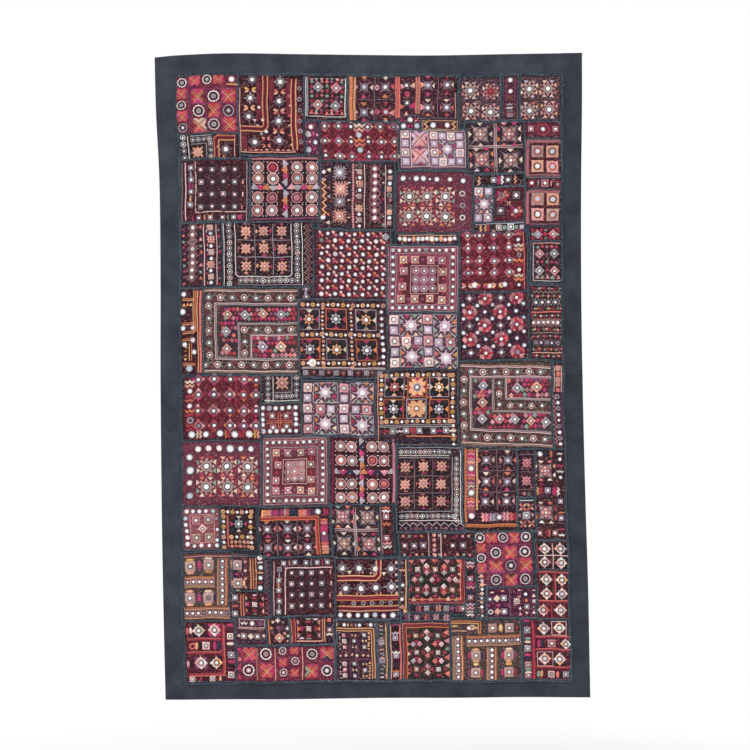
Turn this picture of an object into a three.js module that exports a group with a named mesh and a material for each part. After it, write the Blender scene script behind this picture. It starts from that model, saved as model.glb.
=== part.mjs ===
// An embroidered patchwork wall hanging: one pieced and mirror-worked panel in a frame of plain
// cotton border strips. It hangs flat from its top edge against a wall.
//
// Frame, in millimetres: the origin is the middle of the top edge on the back face, which lies on
// the wall. +Z is up, +X is to the right as the hanging is looked at, and its face looks along -Y.
import * as THREE from "three";

// Driving dimensions of the cut cloth, laid flat.
const CLOTH_WIDTH = 1000;
const CLOTH_HEIGHT = 1520;
const BORDER = { top: 50, bottom: 41, left: 48, right: 46 };

// Through the panel: backing, sewn-on patches and their stitching. Through a border: doubled cotton.
const PANEL_THICKNESS = 3;
const BORDER_THICKNESS = 2;

// Neighbouring pieces stand this far back from their common seam line, on each side of it.
const SEAM_SETBACK = 0.15;
const MITRE_SETBACK = 0.25;

// Facets along the panel's width and height, and across a border strip.
const PANEL_COLUMNS = 24;
const PANEL_ROWS = 36;
const BORDER_COURSES = 3;

// The side edges as they hang, by the share of the way down: x of the left and of the right edge.
const SIDE_EDGES = [
  { down: 0.0, left: -504, right: 504 },
  { down: 0.08, left: -501, right: 504 },
  { down: 0.2, left: -492, right: 502 },
  { down: 0.35, left: -490, right: 502 },
  { down: 0.5, left: -490, right: 505 },
  { down: 0.7, left: -487, right: 512 },
  { down: 0.85, left: -483, right: 519 },
  { down: 1.0, left: -478, right: 523 },
];

// The top and bottom edges as they hang, by the share of the way across: how far each point lies
// above the level line of its edge.
const LEVEL_EDGES = [
  { across: 0.0, top: -6, bottom: 0 },
  { across: 0.05, top: -1, bottom: 0 },
  { across: 0.17, top: 4, bottom: 1 },
  { across: 0.34, top: 2, bottom: 2 },
  { across: 0.5, top: 0, bottom: 4 },
  { across: 0.65, top: -1, bottom: 5 },
  { across: 0.82, top: 2, bottom: 6 },
  { across: 1.0, top: 5, bottom: 6 },
];

// Soft ridges that lift the cloth off the wall: the middle of each on the flat cloth, the way its
// crest runs in degrees from level, its half length and half width, and how far it rises.
const RIDGES = [
  { across: 470, down: 820, turn: 84, halfLength: 620, halfWidth: 300, rise: 4.5 },
  { across: 0, down: 330, turn: 68, halfLength: 170, halfWidth: 60, rise: 4 },
  { across: 1000, down: 765, turn: 4, halfLength: 90, halfWidth: 22, rise: 3 },
  { across: 1000, down: 1120, turn: 82, halfLength: 240, halfWidth: 55, rise: 5 },
  { across: 0, down: 1250, turn: 95, halfLength: 260, halfWidth: 60, rise: 4 },
  { across: 270, down: 1520, turn: 97, halfLength: 190, halfWidth: 80, rise: 5 },
  { across: 690, down: 1520, turn: 86, halfLength: 230, halfWidth: 95, rise: 6 },
  { across: 985, down: 1510, turn: 45, halfLength: 120, halfWidth: 60, rise: 5 },
];

// The heading lies flat on the wall down to here, and is free of it from the second depth on.
const HEADING_FLAT = 46;
const HEADING_FREE = 200;

// Reads one column of a table at a place on its key column, along a smooth cubic through its rows.
// The slope at a row is that of the line joining its two neighbours.
function smoothColumn(table, key, column, at) {
  const last = table.length - 1;
  const row = Math.max(1, table.findIndex((r) => r[key] >= at));
  const slopeAt = (i) => {
    const before = table[Math.max(0, i - 1)];
    const after = table[Math.min(last, i + 1)];
    return (after[column] - before[column]) / (after[key] - before[key]);
  };
  const from = table[row - 1];
  const to = table[row];
  const span = to[key] - from[key];
  const t = (at - from[key]) / span;
  const blend = THREE.MathUtils.smoothstep(t, 0, 1);
  const bend = span * t * (1 - t) * ((1 - t) * slopeAt(row - 1) - t * slopeAt(row));
  return THREE.MathUtils.lerp(from[column], to[column], blend) + bend;
}

// How far the back of the cloth stands off the wall: the ridges added up, each falling away as a
// bell curve along and across its crest, and let in gradually below the heading.
function standOff(across, down) {
  const free = THREE.MathUtils.smoothstep(down, HEADING_FLAT, HEADING_FREE);
  return RIDGES.reduce((sum, ridge) => {
    const crest = THREE.MathUtils.degToRad(ridge.turn);
    const dx = across - ridge.across;
    const dz = ridge.down - down;
    const along = (dx * Math.cos(crest) + dz * Math.sin(crest)) / ridge.halfLength;
    const aside = (dz * Math.cos(crest) - dx * Math.sin(crest)) / ridge.halfWidth;
    return sum + free * ridge.rise * Math.exp(-(along * along) - aside * aside);
  }, 0);
}

// Carries a point of the flat cloth, measured from its top left corner, to where it hangs: the
// sides give its x, the top and bottom edges give its z, and the ridges give its y.
function hung([across, down], thickness) {
  const u = across / CLOTH_WIDTH;
  const v = down / CLOTH_HEIGHT;
  const left = smoothColumn(SIDE_EDGES, "down", "left", v);
  const right = smoothColumn(SIDE_EDGES, "down", "right", v);
  const top = smoothColumn(LEVEL_EDGES, "across", "top", u);
  const bottom = smoothColumn(LEVEL_EDGES, "across", "bottom", u) - CLOTH_HEIGHT;
  return new THREE.Vector3(
    THREE.MathUtils.lerp(left, right, u),
    -standOff(across, down) - thickness,
    THREE.MathUtils.lerp(top, bottom, v),
  );
}

// A closed sheet of cloth from a grid of flat points: its back, its face one thickness nearer the
// viewer, and a wall round its rim. grid[row][column] runs down and to the right.
function sheetGeometry(grid, thickness) {
  const rows = grid.length;
  const columns = grid[0].length;
  const points = [...grid.flat().map((p) => hung(p, 0)), ...grid.flat().map((p) => hung(p, thickness))];
  const back = (r, c) => r * columns + c;
  const face = (r, c) => rows * columns + back(r, c);
  const index = [];
  const quad = (a, b, c, d) => index.push(a, b, c, a, c, d);
  for (let r = 0; r < rows - 1; r++) {
    for (let c = 0; c < columns - 1; c++) {
      quad(face(r, c), face(r + 1, c), face(r + 1, c + 1), face(r, c + 1));
      quad(back(r, c), back(r, c + 1), back(r + 1, c + 1), back(r + 1, c));
    }
  }
  for (let c = 0; c < columns - 1; c++) {
    quad(face(0, c), face(0, c + 1), back(0, c + 1), back(0, c));
    quad(face(rows - 1, c + 1), face(rows - 1, c), back(rows - 1, c), back(rows - 1, c + 1));
  }
  for (let r = 0; r < rows - 1; r++) {
    quad(face(r + 1, 0), face(r, 0), back(r, 0), back(r + 1, 0));
    quad(face(r, columns - 1), face(r + 1, columns - 1), back(r + 1, columns - 1), back(r, columns - 1));
  }
  const geometry = new THREE.BufferGeometry().setFromPoints(points).setIndex(index);
  geometry.computeVertexNormals();
  return geometry;
}

const mix = (from, to, share) => from + (to - from) * share;

// Even stations from one flat point to another.
function stations(from, to, steps) {
  return Array.from({ length: steps + 1 }, (_, i) => [
    mix(from[0], to[0], i / steps),
    mix(from[1], to[1], i / steps),
  ]);
}

// The rows of a grid between two edges that have the same number of stations.
function courses(first, second, steps) {
  return Array.from({ length: steps + 1 }, (_, k) =>
    first.map((p, i) => [mix(p[0], second[i][0], k / steps), mix(p[1], second[i][1], k / steps)]),
  );
}

const borderCotton = new THREE.MeshStandardMaterial({ color: "#3b414c", roughness: 0.92, metalness: 0 });
const patchwork = new THREE.MeshStandardMaterial({ color: "#573a44", roughness: 0.85, metalness: 0 });

const hanging = new THREE.Group();

function addSheet(name, grid, thickness, material) {
  const sheet = new THREE.Mesh(sheetGeometry(grid, thickness), material);
  sheet.name = name;
  hanging.add(sheet);
}

// The seam lines that part the panel from its borders, on the flat cloth.
const seam = {
  left: BORDER.left,
  right: CLOTH_WIDTH - BORDER.right,
  top: BORDER.top,
  bottom: CLOTH_HEIGHT - BORDER.bottom,
};
const joinDown = mix(seam.top, seam.bottom, 0.5);

// The pieced panel: a backing covered edge to edge with embroidered patches.
addSheet(
  "patchwork_panel",
  courses(
    stations(
      [seam.left + SEAM_SETBACK, seam.top + SEAM_SETBACK],
      [seam.right - SEAM_SETBACK, seam.top + SEAM_SETBACK],
      PANEL_COLUMNS,
    ),
    stations(
      [seam.left + SEAM_SETBACK, seam.bottom - SEAM_SETBACK],
      [seam.right - SEAM_SETBACK, seam.bottom - SEAM_SETBACK],
      PANEL_COLUMNS,
    ),
    PANEL_ROWS,
  ),
  PANEL_THICKNESS,
  patchwork,
);

// The top strip: mitred at the left corner, and butted against the right-hand strip.
addSheet(
  "border_top",
  courses(
    stations([MITRE_SETBACK, 0], [seam.right - SEAM_SETBACK, 0], PANEL_COLUMNS),
    stations(
      [seam.left + MITRE_SETBACK, seam.top - SEAM_SETBACK],
      [seam.right - SEAM_SETBACK, seam.top - SEAM_SETBACK],
      PANEL_COLUMNS,
    ),
    BORDER_COURSES,
  ),
  BORDER_THICKNESS,
  borderCotton,
);

// The bottom strip: mitred at both corners.
addSheet(
  "border_bottom",
  courses(
    stations(
      [seam.left + MITRE_SETBACK, seam.bottom + SEAM_SETBACK],
      [seam.right - MITRE_SETBACK, seam.bottom + SEAM_SETBACK],
      PANEL_COLUMNS,
    ),
    stations([MITRE_SETBACK, CLOTH_HEIGHT], [CLOTH_WIDTH - MITRE_SETBACK, CLOTH_HEIGHT], PANEL_COLUMNS),
    BORDER_COURSES,
  ),
  BORDER_THICKNESS,
  borderCotton,
);

// A strip down one side, as a grid whose rows run down the cloth.
function sideStrip(innerEdge, outerEdge) {
  const grid = innerEdge.map((p, i) => stations(p, outerEdge[i], BORDER_COURSES));
  const runsLeft = outerEdge[0][0] < innerEdge[0][0];
  return runsLeft ? grid.map((row) => row.reverse()) : grid;
}

// The left strip: mitred at both corners.
addSheet(
  "border_left",
  sideStrip(
    stations(
      [seam.left - SEAM_SETBACK, seam.top + MITRE_SETBACK],
      [seam.left - SEAM_SETBACK, seam.bottom - MITRE_SETBACK],
      PANEL_ROWS,
    ),
    stations([0, MITRE_SETBACK], [0, CLOTH_HEIGHT - MITRE_SETBACK], PANEL_ROWS),
  ),
  BORDER_THICKNESS,
  borderCotton,
);

// The right strip is joined from two lengths half way down. The upper one runs up past the top
// strip to the edge of the cloth, and the lower one ends in the bottom mitre.
const innerRight = seam.right + SEAM_SETBACK;
const upperDowns = [
  ...stations([0, 0], [0, seam.top], 1),
  ...stations([0, seam.top], [0, joinDown - SEAM_SETBACK], PANEL_ROWS / 2).slice(1),
].map(([, down]) => down);
addSheet(
  "border_right_upper",
  sideStrip(
    upperDowns.map((down) => [innerRight, down]),
    upperDowns.map((down) => [CLOTH_WIDTH, down]),
  ),
  BORDER_THICKNESS,
  borderCotton,
);
const lowerTop = joinDown + SEAM_SETBACK;
addSheet(
  "border_right_lower",
  sideStrip(
    stations([innerRight, lowerTop], [innerRight, seam.bottom - MITRE_SETBACK], PANEL_ROWS / 2),
    stations([CLOTH_WIDTH, lowerTop], [CLOTH_WIDTH, CLOTH_HEIGHT - MITRE_SETBACK], PANEL_ROWS / 2),
  ),
  BORDER_THICKNESS,
  borderCotton,
);

export default hanging;
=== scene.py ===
import math
import re

import bpy
import numpy as np
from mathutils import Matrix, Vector


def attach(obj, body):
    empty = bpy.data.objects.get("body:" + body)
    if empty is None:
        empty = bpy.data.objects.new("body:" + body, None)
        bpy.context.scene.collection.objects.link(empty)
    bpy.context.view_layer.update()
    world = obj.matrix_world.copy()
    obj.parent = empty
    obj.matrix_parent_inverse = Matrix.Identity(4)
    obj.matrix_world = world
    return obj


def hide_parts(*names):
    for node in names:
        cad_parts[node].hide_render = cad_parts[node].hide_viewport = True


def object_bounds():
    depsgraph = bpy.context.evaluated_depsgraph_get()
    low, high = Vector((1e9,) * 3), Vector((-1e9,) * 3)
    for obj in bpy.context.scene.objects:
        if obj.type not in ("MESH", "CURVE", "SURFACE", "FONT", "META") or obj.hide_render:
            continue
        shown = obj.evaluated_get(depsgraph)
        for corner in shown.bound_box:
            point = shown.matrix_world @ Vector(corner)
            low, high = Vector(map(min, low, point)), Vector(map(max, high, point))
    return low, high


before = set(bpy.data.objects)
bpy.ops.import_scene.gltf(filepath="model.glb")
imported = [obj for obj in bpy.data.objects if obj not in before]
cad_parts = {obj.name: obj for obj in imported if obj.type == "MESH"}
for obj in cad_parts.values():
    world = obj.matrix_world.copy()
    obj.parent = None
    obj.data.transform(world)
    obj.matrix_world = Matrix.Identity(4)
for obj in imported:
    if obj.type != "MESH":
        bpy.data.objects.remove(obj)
cad_box = [list(corner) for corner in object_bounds()]


# ----------------------------------------------------------
# The studio: a pale round floor under the hanging, a soft lamp from the upper left, a paler one
# from the right, and a camera square to the face of the cloth.

VIEW_WIDTH = 1.7685
CAMERA_DISTANCE = 5.0
SENSOR = 36.0
FLOOR_DROP = 0.32
FLOOR_RADIUS = 3.6
FLOOR_PLAIN = 1.1
FLOOR_SIDES = 64
VIEW_ACROSS, VIEW_UP = 0.0158, -0.7546
WHITE = (1.0, 1.0, 1.0, 1.0)

scene = bpy.context.scene
scene.view_settings.view_transform = "Standard"


def linear(hex_colour):
    """An sRGB hex colour as linear RGBA."""
    share = np.array([int(hex_colour[i:i + 2], 16) / 255 for i in (1, 3, 5)])
    value = np.where(share <= 0.04045, share / 12.92, ((share + 0.055) / 1.055) ** 2.4)
    return (*value.tolist(), 1.0)


def add(tree, kind, links=None, **settings):
    """Adds a node; settings are its properties or input values, and links feed its inputs."""
    node = tree.nodes.new(kind)
    for key, value in settings.items():
        if hasattr(node, key):
            setattr(node, key, value)
        else:
            node.inputs[key.replace("_", " ")].default_value = value
    for key, socket in (links or {}).items():
        tree.links.new(socket, node.inputs[key])
    return node


def finish_material(name):
    """A named material with an empty node tree, and its output node."""
    material = bpy.data.materials.new(name)
    material.use_nodes = True
    material.node_tree.nodes.clear()
    return material, material.node_tree, add(material.node_tree, "ShaderNodeOutputMaterial")


def either(tree, one, other):
    """The larger of two sockets: true where either is."""
    return add(tree, "ShaderNodeMath", {0: one, 1: other}, operation="MAXIMUM").outputs[0]


def floor_paint():
    """Pale matt paint that keeps the shadow under the cloth and fades to white further out."""
    material, tree, output = finish_material("pale_floor_paint")
    place = add(tree, "ShaderNodeTexCoord")
    away = add(tree, "ShaderNodeVectorMath", {0: place.outputs["Object"]}, operation="LENGTH")
    fade = add(tree, "ShaderNodeMapRange", {"Value": away.outputs["Value"]}, clamp=True,
               From_Min=FLOOR_PLAIN, From_Max=FLOOR_RADIUS * 0.7)
    rays = add(tree, "ShaderNodeLightPath")
    seen = either(tree, rays.outputs["Is Camera Ray"], rays.outputs["Is Glossy Ray"])
    share = add(tree, "ShaderNodeMath", {0: seen, 1: fade.outputs[0]}, operation="MULTIPLY")
    matt = add(tree, "ShaderNodeBsdfDiffuse", Color=linear("#f4f4f2"))
    white = add(tree, "ShaderNodeEmission", Color=WHITE)
    mix = add(tree, "ShaderNodeMixShader", {0: share.outputs[0], 1: matt.outputs[0], 2: white.outputs[0]})
    tree.links.new(mix.outputs[0], output.inputs["Surface"])
    return material


turns = np.linspace(0, 2 * math.pi, FLOOR_SIDES, endpoint=False)
floor_level = cad_box[0][2] - FLOOR_DROP
rim = np.stack([FLOOR_RADIUS * np.cos(turns), FLOOR_RADIUS * np.sin(turns), 0 * turns + floor_level], 1)
floor_mesh = bpy.data.meshes.new("floor")
floor_mesh.from_pydata(rim.tolist(), [], [list(range(FLOOR_SIDES))])
floor_mesh.materials.append(floor_paint())
floor = bpy.data.objects.new("floor", floor_mesh)
scene.collection.objects.link(floor)

world = bpy.data.worlds.new("soft_white_room")
scene.world = world
world.use_nodes = True
world.node_tree.nodes.clear()
sky = world.node_tree
rays = add(sky, "ShaderNodeLightPath")
seen = either(sky, rays.outputs["Is Camera Ray"], rays.outputs["Is Glossy Ray"])
seen = either(sky, seen, rays.outputs["Is Transmission Ray"])
# The room is seen white, but lights the cloth at half that strength.
glow = add(sky, "ShaderNodeMapRange", {"Value": seen}, To_Min=0.5, To_Max=1.0)
room = add(sky, "ShaderNodeBackground", {"Strength": glow.outputs[0]}, Color=WHITE)
sky.links.new(room.outputs[0], add(sky, "ShaderNodeOutputWorld").inputs["Surface"])


def lamp(name, strength, spread, aim):
    """A soft distant lamp shining along aim, its spread in degrees."""
    light = bpy.data.lights.new(name, "SUN")
    light.energy = strength
    light.angle = math.radians(spread)
    fixture = bpy.data.objects.new(name, light)
    fixture.rotation_mode = "QUATERNION"
    fixture.rotation_quaternion = (Vector(aim)).to_track_quat("-Z", "Y")
    scene.collection.objects.link(fixture)


lamp("key_lamp", 1.75, 30, (0.55, 0.75, -0.75))
lamp("fill_lamp", 0.6, 60, (-0.8, 0.9, 0.1))

camera = bpy.data.objects.new("camera", bpy.data.cameras.new("camera"))
camera.data.sensor_width = SENSOR
camera.data.lens = SENSOR * CAMERA_DISTANCE / VIEW_WIDTH
camera.location = (VIEW_ACROSS, -CAMERA_DISTANCE, VIEW_UP)
camera.rotation_euler = (math.pi / 2, 0, 0)
scene.collection.objects.link(camera)
scene.camera = camera


# ----------------------------------------------------------
# The ground cloth: one dark slate cotton sheet that every patch is sewn to. It hangs with
# pulled-in sides and a few soft ridges where the patchwork is stiff.

WIDTH = 1000.0
HEIGHT = 1520.0
TOP, BOTTOM, LEFT, RIGHT = 50.0, 41.0, 48.0, 46.0
PANEL_THICKNESS = 3.0
STRIP_THICKNESS = 2.0
GAP = -0.2
SIDE_EDGES = np.array([  # down the cloth, left edge, right edge
    (0, -504, 504), (0.08, -501, 504), (0.2, -492, 502), (0.35, -490, 502),
    (0.5, -490, 505), (0.7, -487, 512), (0.85, -483, 519), (1, -478, 523)], float)
LEVEL_EDGES = np.array([  # across the cloth, top edge, bottom edge
    (0, -6, 0), (0.05, -1, 0), (0.17, 4, 1), (0.34, 2, 2),
    (0.5, 0, 4), (0.65, -1, 5), (0.82, 2, 6), (1, 5, 6)], float)
RIDGES = np.array([  # across, down, turn in degrees, half length, half width, rise
    (470, 820, 84, 620, 300, 4.5), (0, 330, 68, 170, 60, 4), (1000, 765, 4, 90, 22, 3),
    (1000, 1120, 82, 240, 55, 5), (0, 1250, 95, 260, 60, 4), (270, 1520, 97, 190, 80, 5),
    (690, 1520, 86, 230, 95, 6), (985, 1510, 45, 120, 60, 5)], float)
HEADING_FLAT = 46.0
HEADING_FREE = 200.0


def column_at(table, column, at):
    """A smooth curve through a table's column: cubic, its slope at a row that of its neighbours."""
    key, value = table[:, 0], table[:, column]
    slope = np.empty(len(key))
    slope[1:-1] = (value[2:] - value[:-2]) / (key[2:] - key[:-2])
    slope[0] = (value[1] - value[0]) / (key[1] - key[0])
    slope[-1] = (value[-1] - value[-2]) / (key[-1] - key[-2])
    i = np.clip(np.searchsorted(key, at) - 1, 0, len(key) - 2)
    span = key[i + 1] - key[i]
    t = (at - key[i]) / span
    rise = value[i] + (value[i + 1] - value[i]) * t * t * (3 - 2 * t)
    return rise + span * t * (1 - t) * ((1 - t) * slope[i] - t * slope[i + 1])


def stand_off(across, down):
    """How far the back stands off the wall: a sum of rounded ridges, none at the heading."""
    t = np.clip((down - HEADING_FLAT) / (HEADING_FREE - HEADING_FLAT), 0, 1)
    turn = np.radians(RIDGES[:, 2])
    dx = across[..., None] - RIDGES[:, 0]
    dz = RIDGES[:, 1] - down[..., None]
    along = (dx * np.cos(turn) + dz * np.sin(turn)) / RIDGES[:, 3]
    aside = (dz * np.cos(turn) - dx * np.sin(turn)) / RIDGES[:, 4]
    rise = RIDGES[:, 5] * np.exp(-along ** 2 - aside ** 2)
    return t * t * (3 - 2 * t) * rise.sum(-1)


def hang(across, down, out):
    """Places flat-cloth millimetres on the hanging cloth, in metres. Across it the curves of the two
    sides are blended, down it those of its top and foot, and it stands off the wall by its ridges."""
    across, down, out = np.broadcast_arrays(across, down, out)
    u, v = across / WIDTH, down / HEIGHT
    x = (1 - u) * column_at(SIDE_EDGES, 1, v) + u * column_at(SIDE_EDGES, 2, v)
    z = (1 - v) * column_at(LEVEL_EDGES, 1, u) + v * (column_at(LEVEL_EDGES, 2, u) - HEIGHT)
    return np.stack([x, -stand_off(across, down) - out, z], -1) / 1000


def make_piece(name, points, corners, sizes, materials, tint=None, maps=None, which=None):
    """Turns arrays into a piece: points, the corners of every face in one row, and faces' sizes.
    tint is a colour for each point, maps are named UVs for each corner, which is a slot a face."""
    mesh = bpy.data.meshes.new(name)
    mesh.vertices.add(len(points))
    mesh.vertices.foreach_set("co", np.asarray(points, np.float32).ravel())
    mesh.loops.add(len(corners))
    mesh.loops.foreach_set("vertex_index", np.asarray(corners, np.int32))
    mesh.polygons.add(len(sizes))
    starts = np.concatenate([[0], np.cumsum(sizes)[:-1]])
    mesh.polygons.foreach_set("loop_start", starts.astype(np.int32))
    for material in materials:
        mesh.materials.append(material)
    if which is not None:
        mesh.polygons.foreach_set("material_index", np.asarray(which, np.int32))
    mesh.update(calc_edges=True)
    mesh.polygons.foreach_set("use_smooth", np.ones(len(sizes), bool))
    if tint is not None:
        dye = mesh.color_attributes.new("dye", "FLOAT_COLOR", "POINT")
        dye.data.foreach_set("color", np.asarray(tint, np.float32).ravel())
    for key, places in (maps or {}).items():
        layer = mesh.uv_layers.new(name=key)
        layer.data.foreach_set("uv", np.asarray(places, np.float32).ravel())
    mesh.validate()
    piece = bpy.data.objects.new(name, mesh)
    scene.collection.objects.link(piece)
    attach(piece, "root")
    return piece


def grid_faces(rows, columns):
    """The four-cornered faces of a grid of points, and the points round its rim in order."""
    index = np.arange(rows * columns).reshape(rows, columns)
    face = np.stack([index[:-1, :-1], index[1:, :-1], index[1:, 1:], index[:-1, 1:]], -1).reshape(-1, 4)
    return face, np.concatenate([index[0, :-1], index[:-1, -1], index[-1, :0:-1], index[:0:-1, 0]])


def slab(across, down, front, back):
    """A closed sheet between two grids of heights: front face, back face and a wall round the rim."""
    points = np.concatenate([hang(across, down, front).reshape(-1, 3),
                             hang(across, down, back).reshape(-1, 3)])
    face, edge = grid_faces(*front.shape)
    after = np.roll(edge, -1)
    far = front.size
    wall = np.stack([edge, after, after + far, edge + far], -1)
    return points, np.concatenate([face, face[:, ::-1] + far, wall])


def weave_cotton(name, cloth, fleck, depth, wear):
    """Plain-woven cotton, pressed and matt: crossing threads in bump, slubs and dust in colour.
    The threads are drawn 1.2 mm apart, twice the real ones, so that they show at arm's length;
    fleck is how much dust of the wear colour shows, and depth the height of the threads."""
    material, tree, output = finish_material(name)
    place = add(tree, "ShaderNodeTexCoord")
    fine, long = 1 / 0.0012, 60.0
    warp = add(tree, "ShaderNodeMapping", {0: place.outputs["Object"]}, Scale=(fine, 1.0, long))
    weft = add(tree, "ShaderNodeMapping", {0: place.outputs["Object"]}, Scale=(long, 1.0, fine))
    streak_a = add(tree, "ShaderNodeTexNoise", {0: warp.outputs[0]}, Scale=1.0, Detail=1.0)
    streak_b = add(tree, "ShaderNodeTexNoise", {0: weft.outputs[0]}, Scale=1.0, Detail=1.0)
    threads = add(tree, "ShaderNodeMath", {0: streak_a.outputs[0], 1: streak_b.outputs[0]})
    cloud = add(tree, "ShaderNodeTexNoise", {0: place.outputs["Object"]},
                Scale=16.0, Detail=6.0, Roughness=0.62)
    tone = add(tree, "ShaderNodeMapRange", {"Value": threads.outputs[0]},
               From_Min=0.7, From_Max=1.3, To_Min=0.0, To_Max=1.0)
    worn = add(tree, "ShaderNodeMapRange", {"Value": cloud.outputs[0]},
               From_Min=0.36, From_Max=0.64, To_Min=0.0, To_Max=fleck)
    body = add(tree, "ShaderNodeMix", {0: tone.outputs[0]}, data_type="RGBA")
    for key, share in ((6, 0.78), (7, 1.3)):
        body.inputs[key].default_value = tuple(c * share for c in linear(cloth)[:3]) + (1.0,)
    dusty = add(tree, "ShaderNodeMix", {0: worn.outputs[0], 6: body.outputs[2]}, data_type="RGBA")
    dusty.inputs[7].default_value = linear(wear)
    bump = add(tree, "ShaderNodeBump", {"Height": threads.outputs[0]}, Strength=0.5, Distance=depth)
    shader = add(tree, "ShaderNodeBsdfPrincipled",
                 {"Base Color": dusty.outputs[2], "Normal": bump.outputs[0]},
                 Roughness=0.9, Sheen_Weight=0.25, Sheen_Roughness=0.5, Specular_IOR_Level=0.2)
    tree.links.new(shader.outputs[0], output.inputs["Surface"])
    return material


slate = weave_cotton("slate_ground_cotton", "#252a31", 0.3, 0.0004, "#3a424c")
seam_left, seam_right = LEFT + GAP, WIDTH - RIGHT - GAP
seam_top, seam_bottom = TOP + GAP, HEIGHT - BOTTOM - GAP
panel_across, panel_down = np.meshgrid(np.linspace(seam_left, seam_right, 92),
                                       np.linspace(seam_top, seam_bottom, 144))
pucker = 0.25 * np.sin(panel_across / 5.1 + np.sin(panel_down / 17)) * np.sin(panel_down / 6.3)
points, faces = slab(panel_across, panel_down, PANEL_THICKNESS - 0.3 + pucker, 0 * pucker)
panel = make_piece("ground_cloth", points, faces.ravel(), np.full(len(faces), 4), [slate])
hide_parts("patchwork_panel")


# ----------------------------------------------------------
# The border: five strips of slate cotton folded round the edge, mitred at three corners, butted
# at the top right, and joined again half way down the right side. Pressed creases still show.

JOIN_DOWN = 764.5
CREASES = np.array([  # across, down, turn in degrees, half length, width, rise
    (24, 400, 90, 330, 1.8, -1.0), (14, 700, 90, 500, 1.6, 0.7), (36, 1100, 90, 300, 1.8, 0.8),
    (22, 1150, 90, 300, 1.6, 0.9), (972, 330, 90, 300, 1.8, -1.1), (985, 900, 90, 400, 1.6, 0.7),
    (974, 980, 90, 190, 1.8, 1.0), (495, 25, 88, 40, 2.4, 1.0), (545, 25, 94, 40, 2.2, -0.9),
    (30, 762, 3, 60, 2.4, 1.1), (960, 748, 2, 60, 2.2, 1.1), (300, 1500, 80, 40, 3.0, 1.0),
    (690, 1500, 97, 40, 3.0, 1.1), (270, 26, 84, 40, 4.0, 0.7), (800, 1498, 86, 40, 4.0, -0.9),
    (180, 22, 0, 170, 1.6, 0.6), (600, 1504, 1, 260, 1.6, 0.7), (24, 240, 12, 60, 3.0, 0.8),
    (20, 960, -8, 60, 3.0, 0.8), (976, 560, -10, 60, 3.0, 0.8), (972, 1230, 6, 60, 3.0, 0.8)], float)


def crease(across, down):
    """Pressed-in fold lines: each a low ridge or trough, rounded across and fading at its ends."""
    turn = np.radians(CREASES[:, 2])
    dx = across[..., None] - CREASES[:, 0]
    dz = CREASES[:, 1] - down[..., None]
    along = (dx * np.cos(turn) + dz * np.sin(turn)) / CREASES[:, 3]
    aside = (dz * np.cos(turn) - dx * np.sin(turn)) / CREASES[:, 4]
    return (CREASES[:, 5] * np.exp(-along ** 4 - aside ** 2)).sum(-1)


# Where the rows of points lie across a strip, as shares of its width: closest at its two edges.
ROWS_ACROSS = np.array([0, 0.012, 0.04, 0.1, 0.2, 0.32, 0.44, 0.56, 0.68, 0.8, 0.9, 0.96, 0.988, 1])


def strip(name, node, cotton, outer, inner):
    """A folded strip between its outer and inner edge lines, each a pair of end points, with a
    rounded fold at the outer edge, a slight swell at the seam, and its creases."""
    (start_out, end_out), (start_in, end_in) = np.array(outer, float), np.array(inner, float)
    steps = int(np.hypot(*(end_out - start_out)) / 7) + 2
    t = np.linspace(0, 1, steps)[:, None, None]
    s = ROWS_ACROSS[None, :, None]
    place = (1 - s) * ((1 - t) * start_out + t * end_out) + s * ((1 - t) * start_in + t * end_in)
    across, down = place[..., 0], place[..., 1]
    s = s[..., 0]
    rounded = np.sqrt(np.clip(1 - (1 - np.clip(s / 0.04, 0, 1)) ** 2, 0, 1))
    seam = np.sqrt(np.clip(1 - (1 - np.clip((1 - s) / 0.04, 0, 1)) ** 2, 0, 1))
    soft = 0.22 * np.sin(across / 31 + 2 * np.sin(down / 57)) * np.sin(down / 43 + 1)
    ridge = 0.55 * np.exp(-((s - 0.93) / 0.05) ** 2)
    front = 0.5 + (STRIP_THICKNESS - 0.5) * np.minimum(rounded, 0.25 + 0.75 * seam) + ridge
    front = front + (soft + crease(across, down)) * rounded
    back = 0.45 * (1 - rounded) + 0 * across
    points, faces = slab(across, down, front, back)
    if np.cross(end_out - start_out, start_in - start_out) > 0:
        faces = faces[:, ::-1]
    piece = make_piece(name, points, faces.ravel(), np.full(len(faces), 4), [cotton])
    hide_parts(node)
    return piece


border_cotton = weave_cotton("slate_border_cotton", "#2c2f39", 0.62, 0.0005, "#464c59")
deep_cotton = weave_cotton("deep_slate_border_cotton", "#282b33", 0.62, 0.0005, "#3f4551")
mitre = -0.1
tip = mitre * 2
butt = WIDTH - RIGHT
strip("strip_top", "border_top", border_cotton, [(tip, 0), (butt - GAP, 0)],
      [(LEFT + mitre, TOP - GAP), (butt - GAP, TOP - GAP)])
strip("strip_bottom", "border_bottom", deep_cotton, [(tip, HEIGHT), (WIDTH - tip, HEIGHT)],
      [(LEFT + mitre, HEIGHT - BOTTOM + GAP), (butt - mitre, HEIGHT - BOTTOM + GAP)])
strip("strip_left", "border_left", border_cotton, [(0, tip), (0, HEIGHT - tip)],
      [(LEFT - GAP, TOP + mitre), (LEFT - GAP, HEIGHT - BOTTOM - mitre)])
strip("strip_right_upper", "border_right_upper", deep_cotton,
      [(WIDTH, 0), (WIDTH, JOIN_DOWN - GAP)],
      [(butt + GAP, 0), (butt + GAP, JOIN_DOWN - GAP)])
strip("strip_right_lower", "border_right_lower", deep_cotton,
      [(WIDTH, JOIN_DOWN + GAP), (WIDTH, HEIGHT - tip)],
      [(butt + GAP, JOIN_DOWN + GAP), (butt + GAP, HEIGHT - BOTTOM - mitre)])


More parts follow.
